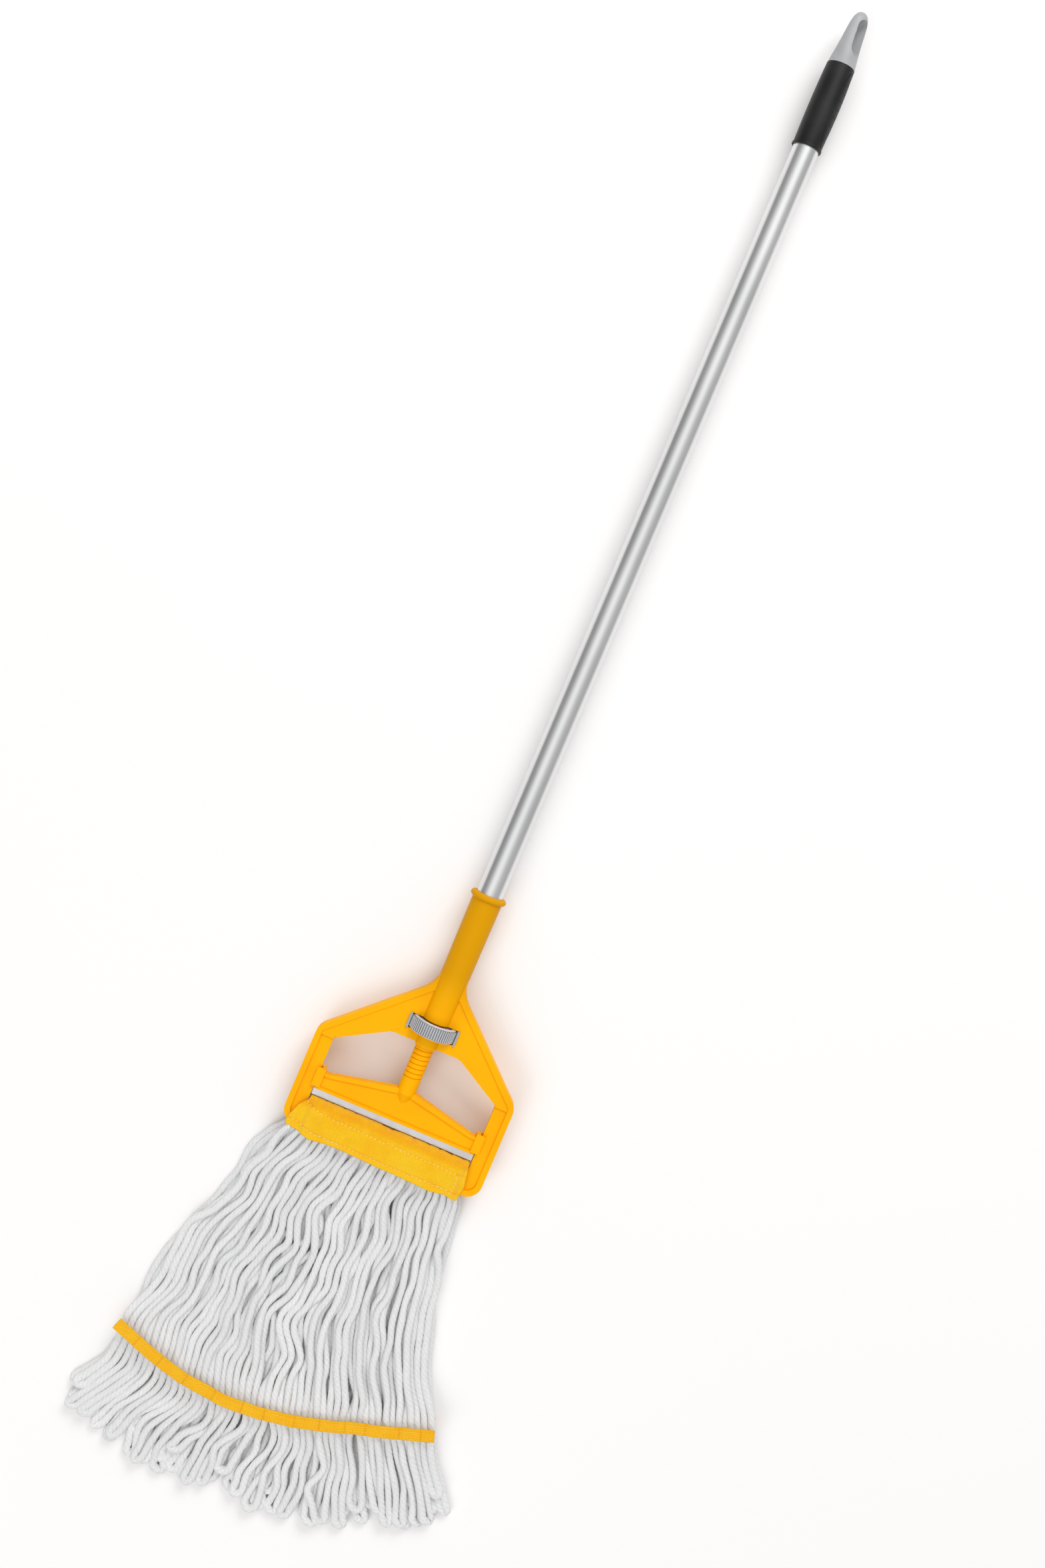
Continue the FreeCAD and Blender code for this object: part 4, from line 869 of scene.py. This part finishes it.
class Look:
    """A material with shorthands for the nodes it needs."""

    def __init__(self, name, **plain):
        self.made = bpy.data.materials.new(name)
        self.made.use_nodes = True
        self.tree = self.made.node_tree
        self.shader = self.tree.nodes["Principled BSDF"]
        for socket, value in plain.items():
            self.shader.inputs[socket.replace("_", " ")].default_value = value
        self.place = add(self.tree, "TexCoord").outputs["Object"]

    def cloth(self):
        """The three pattern coordinates that the piece's points carry; on the headband and tapes
        the third is a painted shade.
        """
        stored = add(self.tree, "Attribute", attribute_name="cloth").outputs["Vector"]
        split = add(self.tree, "SeparateXYZ", {"Vector": stored})
        return [split.outputs[axis] for axis in "XYZ"]

    def stretched(self, scale):
        return add(self.tree, "Mapping", {"Vector": self.place, "Scale": scale}).outputs["Vector"]

    def noise(self, scale, detail=3.0, rough=0.5, place=None):
        inputs = {"Vector": self.place if place is None else place, "Scale": scale,
                  "Detail": detail, "Roughness": rough}
        return add(self.tree, "TexNoise", inputs).outputs["Fac"]

    def math(self, operation, a, b=0.0):
        made = add(self.tree, "Math", operation=operation)
        feed(self.tree, a, made.inputs[0])
        feed(self.tree, b, made.inputs[1])
        return made.outputs[0]

    def times(self, a, b):
        return self.math("MULTIPLY", a, b)

    def plus(self, a, b):
        return self.math("ADD", a, b)

    def wave(self, value, pitch):
        return self.math("SINE", self.times(value, 2 * math.pi / pitch))

    def part(self, place, axis):
        return add(self.tree, "SeparateXYZ", {"Vector": place}).outputs[axis]

    def ramp(self, value, *stops):
        made = add(self.tree, "ValToRGB", {"Fac": value})
        set_stops(made.color_ramp, stops)
        return made.outputs["Color"]

    def tinted(self, colour, other, amount):
        made = add(self.tree, "Mix", data_type="RGBA", blend_type="MIX")
        for number, value in ((0, amount), (6, colour), (7, other)):
            value = (*value, 1) if isinstance(value, tuple) else value
            feed(self.tree, value, made.inputs[number])
        return made.outputs[2]

    def finish(self, colour, rough, bumps=()):
        normal = None
        for height, strength, distance in bumps:
            inputs = {"Height": height, "Strength": strength, "Distance": distance}
            if normal is not None:
                inputs["Normal"] = normal
            normal = add(self.tree, "Bump", inputs).outputs["Normal"]
        for socket, value in (("Base Color", colour), ("Roughness", rough), ("Normal", normal)):
            if value is not None:
                self.tree.links.new(value, self.shader.inputs[socket])
        return self.made


def tube_look():
    look = Look("brushed_tube", Metallic=1.0)
    fine = look.noise(2600, 3, place=look.stretched((1, 0.01, 1)))
    wide = look.noise(26, 4, place=look.stretched((1, 0.35, 1)))
    scuffs = look.ramp(look.noise(160, 5, 0.6, look.stretched((1, 0.2, 1))),
                       (0.62, 0.0), (0.78, 1.0))
    colour = look.ramp(wide, (0.3, (0.74, 0.745, 0.75)), (0.7, (0.80, 0.80, 0.805)))
    colour = look.tinted(colour, (0.60, 0.605, 0.61), look.times(scuffs, 0.35))
    rough = look.plus(look.times(fine, 0.08), look.times(wide, 0.1))
    return look.finish(colour, look.plus(rough, 0.21), [(fine, 0.05, 0.0001)])


def grip_look():
    look = Look("black_sleeve", Specular_IOR_Level=0.3)
    grain = look.noise(2400, 2)
    cloudy = look.noise(40, 4)
    colour = look.ramp(cloudy, (0.3, 0.006), (0.75, 0.014))
    rough = look.plus(look.times(cloudy, 0.2), 0.36)
    return look.finish(colour, rough, [(grain, 0.25, 0.0002), (cloudy, 0.12, 0.002)])


# Painted shade: a dark ring on the wheel's faces near the rim, in metres from its axis.
RING = ((0.021125, 0.0), (0.021325, 1.0), (0.0217, 1.0), (0.022, 0.0))
RING_SCALE = 40.0


def grey_look(name, low, high, shade_ringed=False):
    look = Look(name, Specular_IOR_Level=0.4)
    grain = look.noise(2000, 2)
    cloudy = look.noise(60, 4)
    colour = look.ramp(cloudy, (0.3, low), (0.75, high))
    if shade_ringed:
        across = look.part(look.place, "X")
        up = look.math("SUBTRACT", look.part(look.place, "Z"), AXIS_Z * MM)
        squares = look.plus(look.times(across, across), look.times(up, up))
        stops = [(round(far * RING_SCALE, 3), level) for far, level in RING]
        # Painted shade in the ring near the wheel's rim.
        groove_shade = look.ramp(look.times(look.math("SQRT", squares), RING_SCALE), *stops)
        colour = look.tinted(colour, (0.13, 0.13, 0.15), look.times(groove_shade, 0.85))
    rough = look.plus(look.times(cloudy, 0.18), 0.36)
    return look.finish(colour, rough, [(grain, 0.12, 0.0002)])


def clamp_look():
    look = Look("orange_moulding", Specular_IOR_Level=0.07)
    grain = look.noise(1700, 3, 0.6)
    cloudy = look.noise(22, 4)
    flow = look.noise(90, 3, place=look.stretched((1, 0.3, 1)))
    colour = look.ramp(cloudy, (0.25, (0.94, 0.405, 0.0)), (0.5, (0.985, 0.45, 0.0)),
                       (0.8, (1.0, 0.475, 0.0)))
    # Painted shade: the socket end of the moulding is darker, standing in for it turning away from
    # the light.
    socket = look.ramp(look.plus(look.part(look.place, "Y"), 0.75), (0.50, 0.0), (0.54, 0.9))
    colour = look.tinted(colour, (0.67, 0.308, 0.0), socket)
    speckle = look.times(look.ramp(grain, (0.3, 1.0), (0.5, 0.0)), 0.35)
    colour = look.tinted(colour, (0.87, 0.34, 0.0), speckle)
    rough = look.plus(look.times(flow, 0.2), 0.34)
    return look.finish(colour, rough, [(grain, 0.22, 0.0002), (flow, 0.1, 0.001)])


def metal_look(name, low, high, stretch, rough_base):
    look = Look(name, Metallic=1.0)
    fine = look.noise(2400, 3, place=look.stretched(stretch))
    colour = look.ramp(look.noise(50, 4), (0.3, low), (0.7, high))
    rough = look.plus(look.times(fine, 0.2), rough_base)
    return look.finish(colour, rough, [(fine, 0.15, 0.0001)])


def knit_look():
    look = Look("knitted_band", Specular_IOR_Level=0.1, Sheen_Weight=0.25, Sheen_Roughness=0.5)
    across, down, painted_shade = look.cloth()
    wale = look.wave(look.plus(across, look.times(look.noise(160, 2), 1.1)), 1.45)
    course = look.wave(look.plus(down, look.times(wale, 0.25)), 1.1)
    fuzz = look.noise(1300, 4, 0.65)
    relief = look.plus(look.times(wale, 0.3), look.times(course, 0.36))
    relief = look.plus(relief, look.times(fuzz, 0.8))
    cloudy = look.noise(45, 4)
    colour = look.ramp(cloudy, (0.3, (1.0, 0.53, 0.005)), (0.55, (1.0, 0.61, 0.009)),
                       (0.8, (1.0, 0.655, 0.02)))
    # Painted shade: darker orange in the grooves between the knit's wales and courses.
    groove_shade = look.times(look.ramp(relief, (0.0, 1.0), (0.5, 0.0)), 0.5)
    colour = look.tinted(colour, (0.86, 0.36, 0.0), groove_shade)
    # Painted shade from the cloth's third value: darker orange at the crest, seam lip, crumples and
    # stitch grooves, and all over the lining.
    colour = look.tinted(colour, (0.90, 0.36, 0.0), look.times(painted_shade, 0.75))
    rough = look.ramp(fuzz, (0.2, 0.75), (0.8, 0.95))
    return look.finish(colour, rough, [(relief, 0.6, 0.0005), (cloudy, 0.25, 0.002)])


def tape_look():
    look = Look("woven_tape", Specular_IOR_Level=0.12, Sheen_Weight=0.2, Sheen_Roughness=0.5)
    along, across, painted_shade = look.cloth()
    ribs = look.wave(along, 1.0)
    cords = look.wave(across, 1.6)
    fuzz = look.noise(1500, 4, 0.65)
    relief = look.plus(look.times(ribs, 0.5), look.times(cords, 0.35))
    relief = look.plus(relief, look.times(fuzz, 0.7))
    colour = look.ramp(look.noise(60, 4), (0.3, (0.97, 0.50, 0.004)), (0.7, (1.0, 0.58, 0.01)))
    # Painted shade: darker in the grooves of the weave.
    groove_shade = look.times(look.ramp(relief, (0.0, 1.0), (0.45, 0.0)), 0.4)
    colour = look.tinted(colour, (0.84, 0.34, 0.0), groove_shade)
    # Painted shade from the tape's third value: its creases and stitch rows are darker.
    colour = look.tinted(colour, (0.78, 0.30, 0.0), look.times(painted_shade, 0.6))
    rough = look.ramp(fuzz, (0.2, 0.75), (0.8, 0.95))
    return look.finish(colour, rough, [(relief, 0.55, 0.0005)])


def thread_look(name, low, high):
    look = Look(name, Specular_IOR_Level=0.2, Sheen_Weight=0.2)
    twist = look.noise(2600, 2)
    colour = look.ramp(look.noise(90, 3), (0.3, low), (0.7, high))
    rough = look.ramp(twist, (0.2, 0.6), (0.8, 0.85))
    return look.finish(colour, rough, [(twist, 0.4, 0.0002)])


def yarn_look():
    look = Look("cotton_yarn", Specular_IOR_Level=0.08, Sheen_Weight=0.3, Sheen_Roughness=0.6)
    crown, _, own = look.cloth()
    fibres = look.noise(2300, 4, 0.6, look.stretched((1, 0.3, 1)))
    fuzz = look.noise(900, 5, 0.7)
    mixed = look.plus(look.times(own, 0.5), look.times(look.noise(30, 3), 0.5))
    tone = look.ramp(mixed, (0.2, (0.87, 0.87, 0.873)), (0.8, (0.94, 0.94, 0.938)))
    # Painted shade: darker in the grooves between the plies.
    groove_shade = look.times(look.ramp(crown, (0.05, 1.0), (0.6, 0.0)), 0.22)
    colour = look.tinted(tone, (0.56, 0.56, 0.57), groove_shade)
    # Painted shade: darker in the low spots of the fuzz, which the bump also lowers.
    hollow_shade = look.times(look.ramp(fuzz, (0.35, 1.0), (0.52, 0.0)), 0.5)
    colour = look.tinted(colour, (0.64, 0.645, 0.655), hollow_shade)
    height = look.plus(look.times(fibres, 0.6), look.times(fuzz, 0.8))
    rough = look.ramp(fuzz, (0.2, 0.82), (0.8, 0.98))
    return look.finish(colour, rough, [(height, 0.9, 0.0009)])


STEEL = metal_look("zinc_steel", (0.50, 0.51, 0.53), (0.66, 0.67, 0.69), (1, 1, 1), 0.28)
GREY = grey_look("grey_moulding", (0.34, 0.35, 0.355), (0.42, 0.43, 0.435))
ORANGE = clamp_look()
LOOKS = {
    "handle_tube": tube_look(),
    "hand_grip": grip_look(),
    "hanging_cap": GREY,
    "tube_tip_plug": GREY,
    "wheel_guides": GREY,
    "thumb_wheel": grey_look("grey_wheel", (0.52, 0.53, 0.55), (0.62, 0.63, 0.65), shade_ringed=True),
    "clamp_frame": ORANGE,
    "clamp_jaw": ORANGE,
    "pressure_strip": metal_look("brushed_strip", (0.54, 0.545, 0.57), (0.66, 0.665, 0.69),
                                 (0.01, 1, 1), 0.38),
    "retaining_screw": STEEL,
    "strip_rivets": STEEL,
}
for name, look in LOOKS.items():
    NODES[name].data.materials.clear()
    NODES[name].data.materials.append(look)
THREAD = thread_look("sewing_thread", (1.0, 0.62, 0.14), (1.0, 0.74, 0.27))
TAPE_THREAD = thread_look("tape_thread", (1.0, 0.50, 0.03), (1.0, 0.60, 0.07))
for pieces, look in ((yarns, yarn_look()), ([headband, liner], knit_look()),
                     (tapes, tape_look()), ([stitching], THREAD), ([tail_threads], TAPE_THREAD)):
    for piece in pieces:
        piece.data.materials.append(look)

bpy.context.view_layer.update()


# ---------------------------------------------------------------- floor and light

FLOOR_HALF = 40000
FLOOR_Z = -0.0002
# Grey levels of the world from one side (0) to the other (1): dim at the far left and right.
LEVELS = ((0.0, 0.23), (0.07, 0.29), (0.14, 0.38), (0.21, 0.54), (0.3, 0.76), (0.4, 0.93),
          (0.5, 1.0), (0.6, 0.85), (0.7, 0.67), (0.79, 0.54), (0.87, 0.47), (1.0, 0.42))
WORLD_STRENGTH = 1.08

corners = [(a * FLOOR_HALF, b * FLOOR_HALF, 0) for a, b in ((-1, -1), (1, -1), (1, 1), (-1, 1))]
floor = make_piece("floor", corners, [[0, 1, 2, 3]])
floor.location.z = FLOOR_Z
paper = Look("backdrop", Roughness=0.95, Specular_IOR_Level=0.0)
paper_colour = paper.ramp(paper.noise(2, 2), (0.2, (0.93, 0.915, 0.91)), (0.8, (0.94, 0.925, 0.92)))
floor.data.materials.append(paper.finish(paper_colour, None))

world = bpy.data.worlds.new("studio")
bpy.context.scene.world = world
world.use_nodes = True
sky = world.node_tree
direction = add(sky, "TexCoord").outputs["Generated"]
side = add(sky, "SeparateXYZ", {"Vector": direction}).outputs["X"]
part = add(sky, "MapRange", {"Value": side, "From Min": -1.0}).outputs["Result"]
levels = add(sky, "ValToRGB", {"Fac": part})
set_stops(levels.color_ramp, LEVELS)
sky.links.new(levels.outputs["Color"], sky.nodes["Background"].inputs["Color"])
sky.nodes["Background"].inputs["Strength"].default_value = WORLD_STRENGTH
bpy.context.scene.view_settings.view_transform = "Standard"


def softbox(name, place, aim, size, energy):
    """A rectangular lamp at a place, turned towards its aim; metres and watts."""
    lamp = bpy.data.objects.new(name, bpy.data.lights.new(name, "AREA"))
    lamp.data.shape = "RECTANGLE"
    lamp.data.size, lamp.data.size_y = size
    lamp.data.energy = energy
    lamp.location = place
    lamp.rotation_euler = (Vector(aim) - lamp.location).to_track_quat("-Z", "Y").to_euler()
    bpy.context.scene.collection.objects.link(lamp)


softbox("key", (0.5, 3.1, 2.6), (0, 0, 0), (2.2, 1.6), 66)
softbox("fill", (-1.0, -2.3, 2.5), (-0.2, -0.3, 0), (1.8, 1.8), 21)
